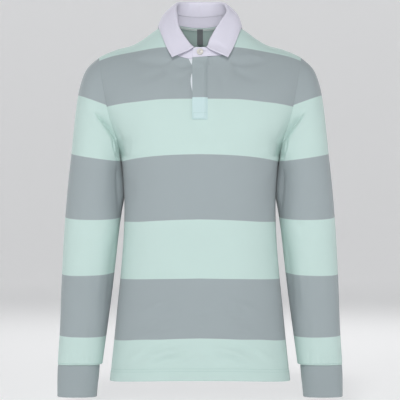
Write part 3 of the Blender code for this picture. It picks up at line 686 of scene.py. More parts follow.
# A level section: a superellipse through half width and reach, risen a little at the front hem
def levelSection(height, angle, back):
    half, front, rear = np.moveaxis(curve(height, body["outline"]), -1, 0)
    x = half * np.sin(angle) ** (2 / body["round"])
    y = (rear if back else -front) * np.maximum(np.cos(angle), 0) ** (2 / body["round"])
    low = np.clip((body["riseFrom"] - height) / (body["riseFrom"] - body["hem"]), 0, 1)
    rise = 0 if back else body["hemRise"]
    return np.stack([x, y, height + rise * np.cos(angle) ** 2 * low], -1)


# The upper body over x and a turn from -1 at the front's armpit level, over 0 on the shoulder line,
# to 1 at the back's: height and depth follow a superellipse over the shoulders at each x
def yoke(x, turn):
    x, turn = np.broadcast_arrays(np.asarray(x, float), np.asarray(turn, float))
    arc = math.pi / 2 * np.clip(1 - np.abs(turn), 0, 1) ** body["turnPower"]
    rise = np.sin(arc) ** (2 / body["crown"])
    depth = np.maximum(np.cos(arc), 0) ** (2 / body["crown"])
    z = body["armpit"] + (curve(np.abs(x), body["shoulder"]) - body["armpit"]) * rise
    half, front, rear = np.moveaxis(curve(z, body["outline"]), -1, 0)
    across = np.maximum(1 - (np.abs(x) / half) ** body["round"], 0) ** (1 / body["round"])
    middle = body["ridgeBack"] * rise
    reach = np.where(turn < 0, -front - middle, rear - middle)
    return np.stack([x, middle + reach * across * depth, z], -1)


def yokeNormal(x, turn):
    along = yoke(x + 0.5, turn) - yoke(x - 0.5, turn)
    over = yoke(x, turn + 0.01) - yoke(x, turn - 0.01)
    return unit(np.cross(along, over))


# Share of the way up the yoke from the armpits at which it has a height, below a ridge height
def shareAt(height, ridge):
    rise = np.clip((height - body["armpit"]) / (ridge - body["armpit"]), 0, 1)
    return (np.arcsin(rise ** (body["crown"] / 2)) / (math.pi / 2)) ** (1 / body["turnPower"])


# Turn of the neckline: below the shoulder line by the neck drop times a power of the cosine
def neckTurn(angle, back):
    side = 1 if back else 0
    drop = body["neckDrop"][side] * np.maximum(np.cos(angle), 0) ** body["neckCurve"][side]
    ridge = curve(body["neckHalf"] * np.sin(angle), body["shoulder"])
    return (1 - shareAt(ridge - drop, ridge)) * (1 if back else -1)


def neckline(degrees):
    degrees = (np.asarray(degrees, float) + 180) % 360 - 180
    angle = np.radians(np.abs(degrees))
    back = angle > math.pi / 2
    fold = np.where(back, math.pi - angle, angle)
    turn = np.where(back, neckTurn(fold, True), neckTurn(fold, False))
    return yoke(body["neckHalf"] * np.sin(fold) * np.sign(degrees), turn)


def armholeX(share, back):
    return curve(share, body["armhole"]) + (body["backArmhole"] * np.sin(math.pi * share) if back else 0)


# Shares of the way up the armhole that part it into equal lengths
def armholeShares(count):
    fine = np.linspace(0, 1, 400) ** 2
    points = yoke(armholeX(fine, False), fine - 1)
    length = np.concatenate([[0], np.linalg.norm(np.diff(points, axis=0), axis=1).cumsum()])
    return np.interp(np.linspace(0, length[-1], count + 1), length, fine)


# Half a panel: rows from the hem up, columns from the side to the middle. Above the armpits its rows
# blend from the armpit level to the armhole, shoulder line and neckline
def halfPanel(back):
    angles = list(body["neckAngles"])
    angles += [math.degrees(math.asin(body["middle"] / body["neckHalf"])), 0]
    shoulder = body["shoulderColumns"]
    last = shoulder + len(angles) - 1
    t = np.linspace(0, last, last * body["fine"] + 1)
    angle = np.radians(np.interp(t, np.arange(shoulder, last + 1), angles))
    onNeck = t >= shoulder
    top = mix(armholeX(1.0, back), body["neckHalf"], t / shoulder)
    topX = np.where(onNeck, body["neckHalf"] * np.sin(angle), top)
    topShare = np.where(onNeck, 1 - np.abs(neckTurn(angle, back)), 1.0)
    half = armholeX(0.0, back)
    inner = math.asin((body["middle"] / half) ** (body["round"] / 2))
    side = np.interp(t, [0, last - 1], [math.pi / 2, inner])
    baseX = np.where(t > last - 1, body["middle"] * (last - t), half * np.sin(side) ** (2 / body["round"]))
    edge = np.clip(1 - (baseX[0] - baseX) / (baseX[0] - body["middle"]), 0, 1)
    v = np.linspace(0, 1, body["yokeRows"] + 1)[:, None]
    share = armholeShares(body["yokeRows"])[:, None]
    x = mix(baseX, topX, v) + edge * (armholeX(share, back) - mix(baseX[0], topX[0], v))
    up = v * topShare + edge ** body["edgePower"] * (share - v)
    upper = yoke(x, (1 - up) * (1 if back else -1))
    heights = np.linspace(body["hem"], body["armpit"], body["waistRows"] + 1)[:-1, None]
    around = np.arcsin((baseX / half) ** (body["round"] / 2))
    lower = levelSection(*np.broadcast_arrays(heights, around), back)
    return np.concatenate([lower, upper])


# The whole panel: mirrored halves, folds along its normals, a hem band that stands a little proud,
# and edges that dip into their seams
def panel(back):
    half = halfPanel(back)
    grid = np.concatenate([half * np.array([-1, 1, 1]), half[:, -2::-1]], 1)
    normals = gridNormals(grid, flip=back)
    u, v = gridLengths(grid)
    fromSide = np.minimum(u - u[:, :1], u[:, -1:] - u)
    fromTop = v[-1] - v
    shoulder = body["shoulderColumns"] * body["fine"]
    onShoulder = np.minimum(np.arange(grid.shape[1]), np.arange(grid.shape[1])[::-1]) < shoulder
    fromSeam = np.minimum(fromSide, np.where(onShoulder, fromTop, 1e3))
    share = np.clip((np.arange(grid.shape[0]) - body["waistRows"]) / body["yokeRows"], 0, 1)
    atArmhole = armholeFade(share)[:, None] * (fromSide <= fromTop)
    grid = drape(grid, normals, fromSeam, atArmhole, not back)
    width, proud = body["hemBand"]
    hem = proud * (1 - ease((v - width) / 1.5))
    deep, wide = body["hemGroove"]
    for line in body["hemLines"]:
        hem -= deep * np.exp(-(((v - line) / wide) ** 2))
    grid = grid + normals * hem[..., None]
    for edgeColumn, inside in ((0, 1), (-1, -2)):
        grid[:, edgeColumn] += body["seam"] * unit(grid[:, inside] - grid[:, edgeColumn])
    for columns in (slice(0, shoulder + 1), slice(-shoulder - 1, None)):
        grid[-1, columns] += body["ridgeSeam"] * unit(grid[-2, columns] - grid[-1, columns])
    return grid


# Band: a number that grows by 1 from each change of colour to the next, down the cloth
def bandOf(height, edges, first):
    total = np.full(height.shape, float(first))
    for k in range(edges.shape[-1] - 1):
        total += np.clip((edges[..., k] - height) / (edges[..., k] - edges[..., k + 1]), 0, 1)
    total += np.clip((edges[..., -1] - height) / 120, 0, 0.95)
    return total - np.clip((height - edges[..., 0]) / 120, 0, 0.95)


def panelBand(grid, stripes):
    return bandOf(grid[..., 2], curve(np.abs(grid[..., 0]), stripes), 1)


frontGrid, backGrid = panel(False), panel(True)
sewn = ("lastRow", "sides")
frontBand, backBand = panelBand(frontGrid, bodyStripes), panelBand(backGrid, backStripes)
front = clothPiece("shirtFront", frontGrid, body["wall"], jersey, band=frontBand, sewn=sewn)
back = clothPiece("shirtBack", backGrid, body["wall"], jersey, flip=True, band=backBand, sewn=sewn)
print("body made")


# Sleeves and cuffs

sleeve = {
    "sections": (  # outer x and z, inner x and z, half depth, middle y
        (203, -62.5, 159.0, -262, 62, 4), (227, -86, 157.0, -272, 63, 4), (240, -120, 154.8, -285, 64, 3),
        (247, -160, 153.0, -300, 63, 3), (252, -205, 151.4, -318, 62, 2), (257, -255, 151.2, -340, 60, 1),
        (264, -320, 156.4, -370, 58, 0), (270, -395, 162.5, -415, 55, -2), (274, -465, 168.5, -470, 52, -4),
        (277, -535, 176.0, -535, 47, -7), (279, -600, 184.5, -600, 42, -11), (282, -650, 191.2, -650, 37, -15),
        (283, -668, 193.6, -668, 34.5, -17), (283, -672.6, 195.0, -672.6, 33.5, -17.5),
        (282.6, -674, 199.6, -674, 30.5, -18),
    ),
    "round": 2.4, "rows": 208, "half": 88, "closeRows": 4.5, "wall": 1.4, "sewnLine": (3.2, 0.8, 0.9),
}
sleeveStripes = (  # where the sleeve changes colour: outer x and z, inner x and z, sag at the front
    (247.0, -137.0, 180.0, -162.0, 0.5),
    (252.0, -255.0, 160.0, -267.8, -3.7),
    (259.5, -380.0, 157.5, -380.5, -6.2),
    (268.0, -493.5, 170.0, -491.0, -4.3),
    (277.0, -615.0, 185.0, -616.0, -3.0),
)


# Oval section: a superellipse from the inner point round by the front to the outer point
def ovalRing(outer, inner, depth, middle, turns):
    power = 2 / sleeve["round"]
    across = -np.sign(np.cos(turns)) * np.abs(np.cos(turns)) ** power
    deep = -np.sign(np.sin(turns)) * np.abs(np.sin(turns)) ** power
    points = (outer + inner)[:, None] / 2 + across[None, :, None] * (outer - inner)[:, None] / 2
    points[..., 1] += middle[:, None] + deep * depth[:, None]
    return points


def armholeRing(half):
    share = armholeShares(half)
    ahead = yoke(armholeX(share, False), share - 1)
    behind = yoke(armholeX(share, True), 1 - share)
    return np.concatenate([ahead, behind[-2:0:-1]])


# The sleeve: ovals read from its sections, drawn to the armhole's own shape over the first rows, then
# moved along its normals by the folds
def sleeveGrid(sign):
    turns = np.arange(2 * sleeve["half"]) * math.pi / sleeve["half"]
    row = np.linspace(0, len(sleeve["sections"]) - 1, sleeve["rows"] + 1)
    ox, oz, ix, iz, depth, middle = curve(row, sleeve["sections"]).T
    zero = np.zeros_like(ox)
    points = ovalRing(np.stack([ox, zero, oz], -1), np.stack([ix, zero, iz], -1), depth, middle, turns)
    drift = armholeRing(sleeve["half"]) + np.array([body["seam"], 0, 0]) - points[0]
    points += drift * ease(1 - row / sleeve["closeRows"])[:, None, None]
    points = points * np.array([sign, 1, 1])
    normals = gridNormals(points, True, sign > 0)
    fromTop = gridLengths(points, True)[1][:, :-1]
    place = np.arange(2 * sleeve["half"])
    isFront = place <= sleeve["half"]
    share = np.where(isFront, place, 2 * sleeve["half"] - place) / sleeve["half"]
    above, deep, wide = sleeve["sewnLine"]
    groove = deep * np.exp(-(((fromTop[-1] - fromTop - above) / wide) ** 2))
    points = drape(points, normals, fromTop, armholeFade(share)[None], isFront[None])
    return points - normals * groove[..., None]


def sleeveBand(grid):
    turns = np.arange(grid.shape[1]) * 2 * math.pi / grid.shape[1]
    ahead = np.maximum(np.sin(turns), 0) + 0.3 * np.minimum(np.sin(turns), 0)
    edges = []
    for outerX, outerZ, innerX, innerZ, sag in sleeveStripes:
        share = (outerX - np.abs(grid[..., 0])) / (outerX - innerX)
        edges.append(mix(outerZ, innerZ, share) + sag * ahead)
    return bandOf(grid[..., 2], np.stack(edges, -1), 2)


cuff = {
    "sections": (  # outer x, inner x, z, half depth, middle y
        (282.9, 199.4, -674.1, 30.5, -18), (283.6, 201.0, -696, 29.8, -19),
        (283.8, 203.5, -717, 29, -20), (283.5, 205.0, -737.5, 28.5, -21),
    ),
    "rows": 40, "wall": 2.2, "seamDip": (2.0, 0.7),
}


# The cuff: level ovals from its own sections, a little drawn in at the seam
def cuffGrid():
    turns = np.arange(2 * sleeve["half"]) * math.pi / sleeve["half"]
    ox, ix, z, depth, middle = curve(np.linspace(0, 3, cuff["rows"] + 1), cuff["sections"]).T
    zero = np.zeros_like(ox)
    points = ovalRing(np.stack([ox, zero, z], -1), np.stack([ix, zero, z], -1), depth, middle, turns)
    inward = unit(points.mean(1, keepdims=True) - points)
    fromTop = gridLengths(points, True)[1][:, :-1]
    reach, drop = cuff["seamDip"]
    place = np.where(turns > math.pi, turns - 2 * math.pi, turns) / math.pi * 110
    press = drop * np.exp(-((fromTop / reach) ** 2)) + unevenness(place[None], points[..., 2], 0.25, 9)
    return points + inward * press[..., None]


mirror = np.array([-1, 1, 1])
sleeves, cuffs, sleeveGrids, cuffGrids = {}, {}, {}, {}
for name, sign in (("Left", 1), ("Right", -1)):
    flip = sign > 0
    sleeveGrids[name] = sleeveGrid(sign)
    band = sleeveBand(sleeveGrids[name])
    sleeves[name] = clothPiece(
        "shirtSleeve" + name, sleeveGrids[name], sleeve["wall"], jersey, True, flip, band, ("firstRow", "lastRow")
    )
    cuffGrids[name] = cuffGrid() * (mirror if sign < 0 else 1)
    cuffs[name] = clothPiece(
        "shirtCuff" + name, cuffGrids[name], cuff["wall"], cuffRib, True, flip, None, ("firstRow",)
    )
print("sleeves and cuffs made")


# Placket: the striped top placket over a white one whose edge peeps out beside it

placket = {
    "overSeam": {-66: -60, -15: -68.6, 0: -67.3, 15: -66.2, 32: -64.4, 44: -62, 66: -52},
    "underSeam": {-66: -58, -44: -64.0, -32: -67.8, -22: -70.4, -10: -70.8, 30: -68, 66: -58},
    "half": 15, "end": -191, "below": 0.15, "lift": 3.2, "wall": 1.6, "rows": 70, "columns": 25,
    "underEnd": -188, "underWall": 0.8, "underLift": 1.25, "underReach": 12,
    "underEdge": {  # height: how far the white one reaches beyond the middle
        -190: 13.5, -142: 14.2, -134: 15.4, -124: 17.6, -114: 18.4, -104: 17.0, -98: 15.2, -92: 14.2,
        -86: 14.6, -78: 18.5, -70: 22.5, -60: 27.0,
    },
    "change": -147.2,  # height where the top placket changes colour
}
middleColumn = frontGrid.shape[1] // 2
window = frontGrid[body["waistRows"] :, middleColumn - 44 : middleColumn + 45]
windowNormals = gridNormals(window)


# Points over the front's middle at given x and z, moved out by a lift
def overFront(x, z, lift):
    row, column = placeOn(window, x, z)
    normals = unit(onGrid(windowNormals, row, column))
    return onGrid(window, row, column) + np.asarray(lift)[..., None] * normals, normals


# Height of the neck seam as seen from the front: the photo's line near the middle, where the stand's
# lapping half lies a little higher than the other, and the neckline further out
def neckHeight(x, over=True):
    line = window[-1]
    edge = np.interp(x, line[:, 0], line[:, 2])
    near = curve(x, placket["overSeam" if over else "underSeam"])
    return mix(edge, near, ease((64 - np.abs(x)) / 22))


# The top placket: level rows from its end to just under the neck seam. It thins towards its sewn edge
# and its end, and puckers a little where buttons are hidden below
def placketGrid():
    x = np.linspace(-placket["half"], placket["half"], placket["columns"])
    share = np.linspace(0, 1, placket["rows"])[:, None]
    z = mix(placket["end"], neckHeight(x)[None] - placket["below"], share)
    x = np.broadcast_to(x, z.shape)
    lift = np.full(z.shape, placket["lift"])
    lift -= 2.8 * ease((x - 7) / 8) * ease((neckHeight(x) - z) / 14)
    lift = np.minimum(lift, placket["lift"] - 1.55 * ease((placket["end"] + 4.5 - z) / 4))
    lift -= 0.25 * np.exp(-(((x - 13.2) / 0.8) ** 2))
    lift += 0.35 * np.sin((z + 60) / 7.5) * np.exp(-((x - 5) / 6) ** 2) * ease((z + 160) / 20)
    lift += 0.5 * np.exp(-(((z + 82) + 0.25 * x) / 3.5) ** 2) - 0.4 * np.exp(-(((z + 90) - 0.1 * x) / 3) ** 2)
    return overFront(x, z, lift)[0]


# The white placket below: its free edge follows its own table
def underGrid():
    share = np.linspace(0, 1, 60)[:, None]
    top = placket["underSeam"][-10] - placket["below"]
    z = mix(placket["underEnd"], top, share)
    left = -curve(z, placket["underEdge"])
    x = mix(left, placket["underReach"], np.linspace(0, 1, 13)[None])
    z = np.broadcast_to(z, x.shape)
    return overFront(x, z, np.full(x.shape, placket["underLift"]))[0]


topPlacketGrid = placketGrid()
placketBand = 1.5 + np.clip((placket["change"] - topPlacketGrid[..., 2]) / 60, -0.45, 0.45) + 0.5
topPlacket = clothPiece(
    "shirtPlacket", topPlacketGrid, placket["wall"], placketJersey, band=placketBand, sewn=("lastRow",), rim=0.5
)
underPlacket = clothPiece("shirtPlacketUnder", underGrid(), placket["underWall"], underTwill)
print("plackets made")


# Collar: a stand round the neck and a fall that folds over it

collar = {
    "roll": {  # angle round the neck from the centre front: roll line x, y, z
        0: (0.0, -75.0, -46.5), 10: (12.0, -73.5, -45.5), 27: (28.5, -62.0, -27.0), 45: (42.5, -43.0, -3.0),
        70: (48.5, -14.0, 27.0), 95: (49.5, 10.0, 44.0), 120: (44.5, 33.0, 51.5), 150: (26.5, 51.0, 54.0),
        180: (0.0, 57.0, 54.5),
    },
    "rollShift": {0: 0, 11: 0, 27: -7, 45: -8, 58: -2, 70: 5, 95: 4, 120: 2, 150: 0, 180: 0},  # left half only
    "standShare": {0: 1.18, 8: 1.17, 9.2: 1.1, 10.4: 0.93, 12: 0.90, 30: 0.86, 60: 0.72, 110: 0.50, 180: 0.44},
    "standEnd": 12.5, "corner": (0.35, 3), "lap": 2.4, "lapFade": (12, 42), "footLift": 1.9, "footGap": 0.25,
    "fold": 3.4, "fallEnd": 10, "wall": 1.6, "lift": {10: 10.5, 25: 8.0, 45: 5.0, 70: 3.4, 180: 3.4}, "leave": 50, "step": 2.0,
    "edge": {  # angle: the fall's outer edge, its distance from the middle and turn over the shoulder
        10: (54.0, -0.485), 25: (62.5, -0.420), 45: (71.0, -0.320), 70: (79.0, -0.165), 90: (83.0, -0.020),
        110: (81.5, 0.090), 130: (69.0, 0.170), 150: (47.0, 0.235), 180: (0.0, 0.270),
    },
    "bulge": {0: 0, 25: 2.0, 50: 4.5, 75: 7.0, 110: 5.5, 180: 3.5},
    "stitchIn": 5.0,
}


def rollLine(degrees):
    degrees = (np.asarray(degrees, float) + 180) % 360 - 180
    points = curve(np.abs(degrees), collar["roll"])
    points[..., 0] += np.where(degrees > 0, curve(np.abs(degrees), collar["rollShift"]), 0)
    points[..., 0] *= np.where(degrees < 0, -1, 1)
    return points


# Directions at the roll line: outward and level, and upward across the fold
def foldFrame(degrees):
    along = unit(rollLine(degrees + 1.0) - rollLine(degrees - 1.0))
    outward = unit(np.cross(along, np.array([0, 0, 1.0])))
    return outward, unit(np.cross(outward, along))


# The stand's foot on the neckline, the crest it leans towards, and how far up it reaches
def standLine(degrees):
    outward, upward = foldFrame(degrees)
    crest = rollLine(degrees) - collar["fold"] * upward - (collar["fold"] - collar["wall"]) * outward
    around = np.abs((np.asarray(degrees, float) + 180) % 360 - 180)
    return neckline(degrees), crest, curve(around, collar["standShare"])[..., None]


# The stand: rows from the neck seam to its top, its lapping end moved outward
def standGrid():
    end = collar["standEnd"]
    degrees = np.linspace(-end, 360 + end, int((360 + 2 * end) / collar["step"]) + 1)
    foot, crest, share = standLine(degrees)
    top = mix(foot, crest, share)
    outward = foldFrame(degrees)[0]
    first, final = collar["lapFade"]
    lap = (collar["lap"] * np.clip((final - degrees) / (final - first), 0, 1) ** 1.5)[:, None]
    fromEnd = np.minimum(degrees + end, 360 + end - degrees)
    cut, over = collar["corner"]
    corner = (1 - cut * np.clip(1 - fromEnd / over, 0, 1) ** 2)[:, None]
    near = (degrees < 75) | (degrees > 285)
    x = foot[near, 0]
    z = np.where(degrees[near] < 75, neckHeight(x), neckHeight(x, False))
    low, normals = overFront(x, z, collar["footLift"] + 0.7 * lap[near, 0])
    share = ease((66 - np.abs(x)) / 10)[:, None]
    seam = foot + unit(top - foot) * collar["footGap"]
    seam[near] = mix(seam[near], low, share)
    rise = np.linspace(0, 1, 19)[:, None, None]
    rows = mix(seam, top + outward * lap, rise * corner) + 0.8 * outward * np.sin(math.pi * rise)
    return rows


# The fall: up from the stand's top, round a fold of constant radius, then a Hermite curve with a
# crown down to its outer edge. A line of stitches sinks in beside the edges
def fallGrid():
    end = collar["fallEnd"]
    degrees = np.linspace(end, 360 - end, int((360 - 2 * end) / collar["step"]) + 1)
    foot, crest, share = standLine(degrees)
    outward, upward = foldFrame(degrees)
    centre = rollLine(degrees) - collar["fold"] * upward
    start = mix(foot, crest, np.minimum(share, 0.93)) + 0.1 * unit(crest - foot) - collar["wall"] * outward
    bend = np.radians(np.linspace(0, 140, 15))[:, None, None]
    fold = centre + collar["fold"] * (upward * np.sin(bend) - outward * np.cos(bend))
    rise = mix(start, fold[0], np.linspace(0, 1, 5)[:-1, None, None])
    around = 180 - np.abs(degrees - 180)
    x, over = np.moveaxis(curve(around, collar["edge"]), -1, 0)
    x = x * np.where(degrees > 180, -1, 1)
    edgeNormal = yokeNormal(x, over)
    edge = yoke(x, over) + curve(around, collar["lift"])[:, None] * edgeNormal
    last = fold[-1]
    span = np.linalg.norm(edge - last, axis=1)[:, None]
    down = math.radians(collar["leave"])
    leave = outward * math.cos(down) - upward * math.sin(down)
    leave = unit(leave + 0.8 * unit(edge - last)) * span * 0.9
    arrive = (edge - last) * 0.9
    crown = curve(around, collar["bulge"])[:, None] * edgeNormal
    t = np.linspace(0, 1, 37)[1:, None, None]
    leaf = (
        (1 + 2 * t) * (1 - t) ** 2 * last + t * (1 - t) ** 2 * leave
        + t * t * (3 - 2 * t) * edge + t * t * (t - 1) * arrive + np.sin(math.pi * t) * crown
    )
    return np.concatenate([rise, fold, leaf])


collarStandGrid, collarFallGrid = standGrid(), fallGrid()
fallNormals = gridNormals(collarFallGrid, flip=True)
fallU, fallV = gridLengths(collarFallGrid)
fromEdge = np.minimum(fallV[-1] - fallV, np.minimum(fallU - fallU[:, :1], fallU[:, -1:] - fallU))
groove = -0.22 * np.exp(-(((fromEdge - collar["stitchIn"]) / 0.9) ** 2))
groove += unevenness(fallU, fallV, 0.35, 14) * ease(fallV / 20)
collarFallGrid = collarFallGrid + fallNormals * groove[..., None]
stand = clothPiece("shirtCollarStand", collarStandGrid, collar["wall"], collarTwill, sewn=("firstRow", "lastRow"))
fall = clothPiece("shirtCollarFall", collarFallGrid, collar["wall"], collarTwill, flip=True, sewn=("firstRow",))
print("collar made")


# Neck tape and label, inside the back

tape = {"wall": 0.8, "lift": 2.4, "top": 0.3, "depth": 6.0, "label": (6.0, 38.0), "labelLift": 3.3}
backInside = gridNormals(backGrid)
backU, backV = gridLengths(backGrid)


# A strip inside the back: rows at given distances below the neck seam, at fractional columns
def insideBack(below, columns, lift):
    below, columns = np.broadcast_arrays(below, columns)
    lengths = (backV[-1] - backV)[..., None]
    row = np.full(below.shape, backGrid.shape[0] - 1.0)
    for _ in range(8):
        miss = below - onGrid(lengths, row, columns)[..., 0]
        step = onGrid(lengths, row - 0.5, columns)[..., 0] - onGrid(lengths, row + 0.5, columns)[..., 0]
        row = np.clip(row - miss / np.maximum(step, 1e-3), 0, backGrid.shape[0] - 1)
    normals = unit(onGrid(backInside, row, columns))
    return onGrid(backGrid, row, columns) + np.asarray(lift)[..., None] * normals, normals


neckStart = body["shoulderColumns"] * body["fine"]
tapeColumns = np.linspace(neckStart + body["fine"], backGrid.shape[1] - 1 - neckStart - body["fine"], 90)[None]
tapeBelow = np.linspace(tape["depth"], tape["top"], 7)[:, None]
tapeGrid, tapeNormals = insideBack(tapeBelow, tapeColumns, np.array(tape["lift"]))
neckTape = clothPiece("shirtNeckTape", tapeGrid, tape["wall"], tapeJersey)
backMiddle = backGrid.shape[1] // 2
middleRow = backU[-1]
labelHalf, labelLong = tape["label"]
labelColumns = np.interp(np.linspace(-labelHalf, labelHalf, 9), middleRow, np.arange(len(middleRow)))[None]
labelBelow = np.linspace(labelLong, 0.5, 40)[:, None]
labelLift = tape["labelLift"] + 1.6 * ease((labelBelow - 8) / 30) * np.ones_like(labelColumns)
labelGrid, labelNormals = insideBack(labelBelow, labelColumns, labelLift)
label = clothPiece("shirtLabel", labelGrid, tape["wall"], labelRibbon)
print("tape and label made")


# Button, its thread and its buttonhole

button = {
    "radius": 6.5, "thick": 2.4, "hole": 0.85, "holeAt": 1.7, "height": -56.3, "off": 0.45,
    "profile": (  # distance from the middle and height, as shares of the radius and the thickness
        (0.0, 0.70), (0.45, 0.70), (0.62, 0.74), (0.70, 0.92), (0.78, 1.0), (0.90, 1.0),
        (0.97, 0.88), (1.0, 0.66), (1.0, 0.34), (0.95, 0.08), (0.86, 0.0), (0.0, 0.0),
    ),
}
standNormals = gridNormals(collarStandGrid)
lapEnd = slice(0, 20)


def overStand(x, z, lift):
    row, column = placeOn(collarStandGrid[:, lapEnd], x, z)
    normals = unit(onGrid(standNormals[:, lapEnd], row, column))
    return onGrid(collarStandGrid[:, lapEnd], row, column) + np.asarray(lift)[..., None] * normals, normals


seatPoint, seatNormal = overStand(np.array(0.0), np.array(button["height"]), np.array(button["off"]))
seatAcross = unit(np.cross(np.array([0, 0, 1.0]), seatNormal))
seatUp = np.cross(seatNormal, seatAcross)


# From the button's own x, y and height to the shirt
def atSeat(points):
    return seatPoint + points[..., :1] * seatAcross + points[..., 1:2] * seatUp + points[..., 2:] * seatNormal


# A turned disc: the profile swept round, its two poles closed by quads over the first ring
def makeButton():
    profile = np.array(button["profile"]) * (button["radius"], button["thick"])
    rings = profile[1:-1]
    turn = np.arange(64) * math.pi / 32
    circle = np.stack([np.cos(turn), np.sin(turn)], -1)
    ring = np.concatenate([rings[:, None, :1] * circle, np.repeat(rings[:, None, 1:], 64, 1)], -1)
    count = len(rings) * 64
    index = np.arange(count).reshape(-1, 64)
    after = np.roll(index, -1, 1)
    sides = np.stack([index[:-1], index[1:], after[1:], after[:-1]], -1).reshape(-1, 4)
    poles = np.array([[0, 0, profile[0, 1]], [0, 0, profile[-1, 1]]])
    even = np.arange(0, 64, 2)
    nextOne, nextTwo = (even + 1) % 64, (even + 2) % 64
    top = np.stack([np.full(32, count), even, nextOne, nextTwo], -1)
    low = np.stack([np.full(32, count + 1), nextTwo, nextOne, even], -1) + np.array([0, 1, 1, 1]) * (count - 64)
    points = atSeat(np.concatenate([ring.reshape(-1, 3), poles]))
    return quadMesh("shirtButton", points, np.concatenate([sides, top, low]), buttonResin)


def resinMaterial():
    made = bpy.data.materials.new("buttonResin")
    made.use_nodes = True
    tree = made.node_tree
    shader = tree.nodes["Principled BSDF"]
    place = tree.nodes.new("ShaderNodeTexCoord")
    mottle = placeGroup(tree, mottleGroup, place.outputs["Object"], Cloud=260.0, Amount=0.16)
    grey = tree.nodes.new("ShaderNodeCombineColor")
    for socket in grey.inputs:
        tree.links.new(mottle.outputs["Shade"], socket)
    colour = blendColour(tree, 1.0, linear((198, 195, 188)), grey.outputs[0], "MULTIPLY")
    tree.links.new(colour, shader.inputs["Base Color"])
    rough = operate(tree, "MULTIPLY", mottle.outputs["Shade"], 0.32)
    tree.links.new(rough, shader.inputs["Roughness"])
    shader.inputs["Coat Weight"].default_value = 0.25
    shader.inputs["Coat Roughness"].default_value = 0.15
    return made


buttonResin = resinMaterial()
shirtButton = makeButton()
drill = bpy.data.meshes.new("drill")
turn = np.arange(16) * math.pi / 8
spots = np.array([(sx, sy) for sx in (-1, 1) for sy in (-1, 1)]) * button["holeAt"] * 0.7071
tube = np.stack([np.cos(turn), np.sin(turn)], -1) * button["hole"]
walls, caps = [], []
drillPoints = np.concatenate([
    np.concatenate([np.repeat([spot], 16, 0) + tube, np.full((16, 1), z)], 1)
    for spot in spots for z in (-2.0, 5.0)
])
for k in range(4):
    ring = np.arange(16) + 32 * k
    walls += np.stack([ring, np.roll(ring, -1), np.roll(ring, -1) + 16, ring + 16], -1).tolist()
    caps += [ring[::-1].tolist(), (ring + 16).tolist()]
drill.from_pydata((atSeat(drillPoints) * mm).tolist(), [], walls + caps)
drillPiece = bpy.data.objects.new("drill", drill)
bpy.context.scene.collection.objects.link(drillPiece)
cut = shirtButton.modifiers.new("holes", "BOOLEAN")
cut.object = drillPiece
cut.operation = "DIFFERENCE"
cut.solver = "EXACT"
bpy.context.view_layer.update()
drilled = bpy.data.meshes.new_from_object(shirtButton.evaluated_get(bpy.context.evaluated_depsgraph_get()))
shirtButton.modifiers.clear()
shirtButton.data = drilled
bpy.data.objects.remove(drillPiece)

threadRows = []
for lane in (-0.35, 0.0, 0.35):
    for y in (-1.2, 1.2):
        reach = np.linspace(-1.25, 1.25, 12)
        arch = button["thick"] * 0.70 + 0.55 - 0.25 * (reach / 1.25) ** 4
        bar = np.stack([reach, np.full(12, y) + lane, arch], -1)
        threadRows.append((atSeat(bar), np.repeat(seatNormal[None], 12, 0)))
buttonThread = stitchPiece(
    "shirtButtonThread", threadRows, {"length": 2.4, "gap": 0.05, "radius": 0.22}, threads["white"]
)

buttonhole = {"half": 8.0, "shift": 3.2, "height": -56.0, "bar": 1.5, "thread": 0.16}
bars = 46
lane = np.linspace(-buttonhole["half"], buttonhole["half"], bars) + buttonhole["shift"]
holeRows = []
for sign in (-1, 1):
    for k in (0, 1):
        x = lane[k::2]
        for at in x:
            z = buttonhole["height"] + 0.18 * at + sign * np.linspace(0.35, buttonhole["bar"], 4)
            holeRows.append(overStand(np.full(4, at), z, np.full(4, 0.08)))
for at in (lane[0] - 0.3, lane[-1] + 0.3):
    z = buttonhole["height"] + 0.18 * at + np.linspace(-buttonhole["bar"], buttonhole["bar"], 6)
    holeRows.append(overStand(np.full(6, at), z, np.full(6, 0.12)))
holeStitch = {"length": 1.1, "gap": 0.02, "radius": buttonhole["thread"]}
buttonholeStitches = stitchPiece("shirtButtonhole", holeRows, holeStitch, threads["white"])
print("button made")


# Sewing

sewing = {"length": 2.6, "gap": 0.8, "radius": 0.26}
fineSewing = {"length": 2.0, "gap": 0.6, "radius": 0.2}


# A line round a panel at a distance from its first row
def hemLine(grid, distance, flip):
    normals = gridNormals(grid, flip=flip)
    v = gridLengths(grid)[1]
    columns = np.linspace(2, grid.shape[1] - 3, 400)
    rowAt = np.array([np.interp(distance, v[:12, c], np.arange(12)) for c in range(grid.shape[1])])
    row = np.interp(columns, np.arange(grid.shape[1]), rowAt)
    path, up = onGrid(grid, row, columns), unit(onGrid(normals, row, columns))
    return path + up * 0.1, up


hemRows = [hemLine(grid, distance, flip) for grid, flip in ((frontGrid, False), (backGrid, True))
           for distance in (18.6, 24.0)]
hemStitches = stitchPiece("shirtHemStitches", hemRows, sewing, threads["mint"])


# A line round a tube on one fractional row
def tubeLine(grid, row, flip):
    normals = gridNormals(grid, True, flip)
    wide, wideNormals = (np.concatenate([g, g[:, :1]], 1) for g in (grid, normals))
    columns = np.linspace(0, wide.shape[1] - 1, 300)
    path, up = onGrid(wide, row, columns), unit(onGrid(wideNormals, row, columns))
    return path + up * 0.1, up


cuffStitches = {}
for name, flip in (("Left", True), ("Right", False)):
    grid = sleeveGrids[name]
    v = gridLengths(grid, True)[1][:, sleeve["half"]]
    row = np.interp(v[-1] - sleeve["sewnLine"][0] - 1, v, np.arange(len(v)))
    lines = [tubeLine(grid, row, flip)]
    cuffStitches[name] = stitchPiece("shirtCuffStitches" + name, lines, sewing, threads["mint"])

placketNormals = gridNormals(topPlacketGrid)


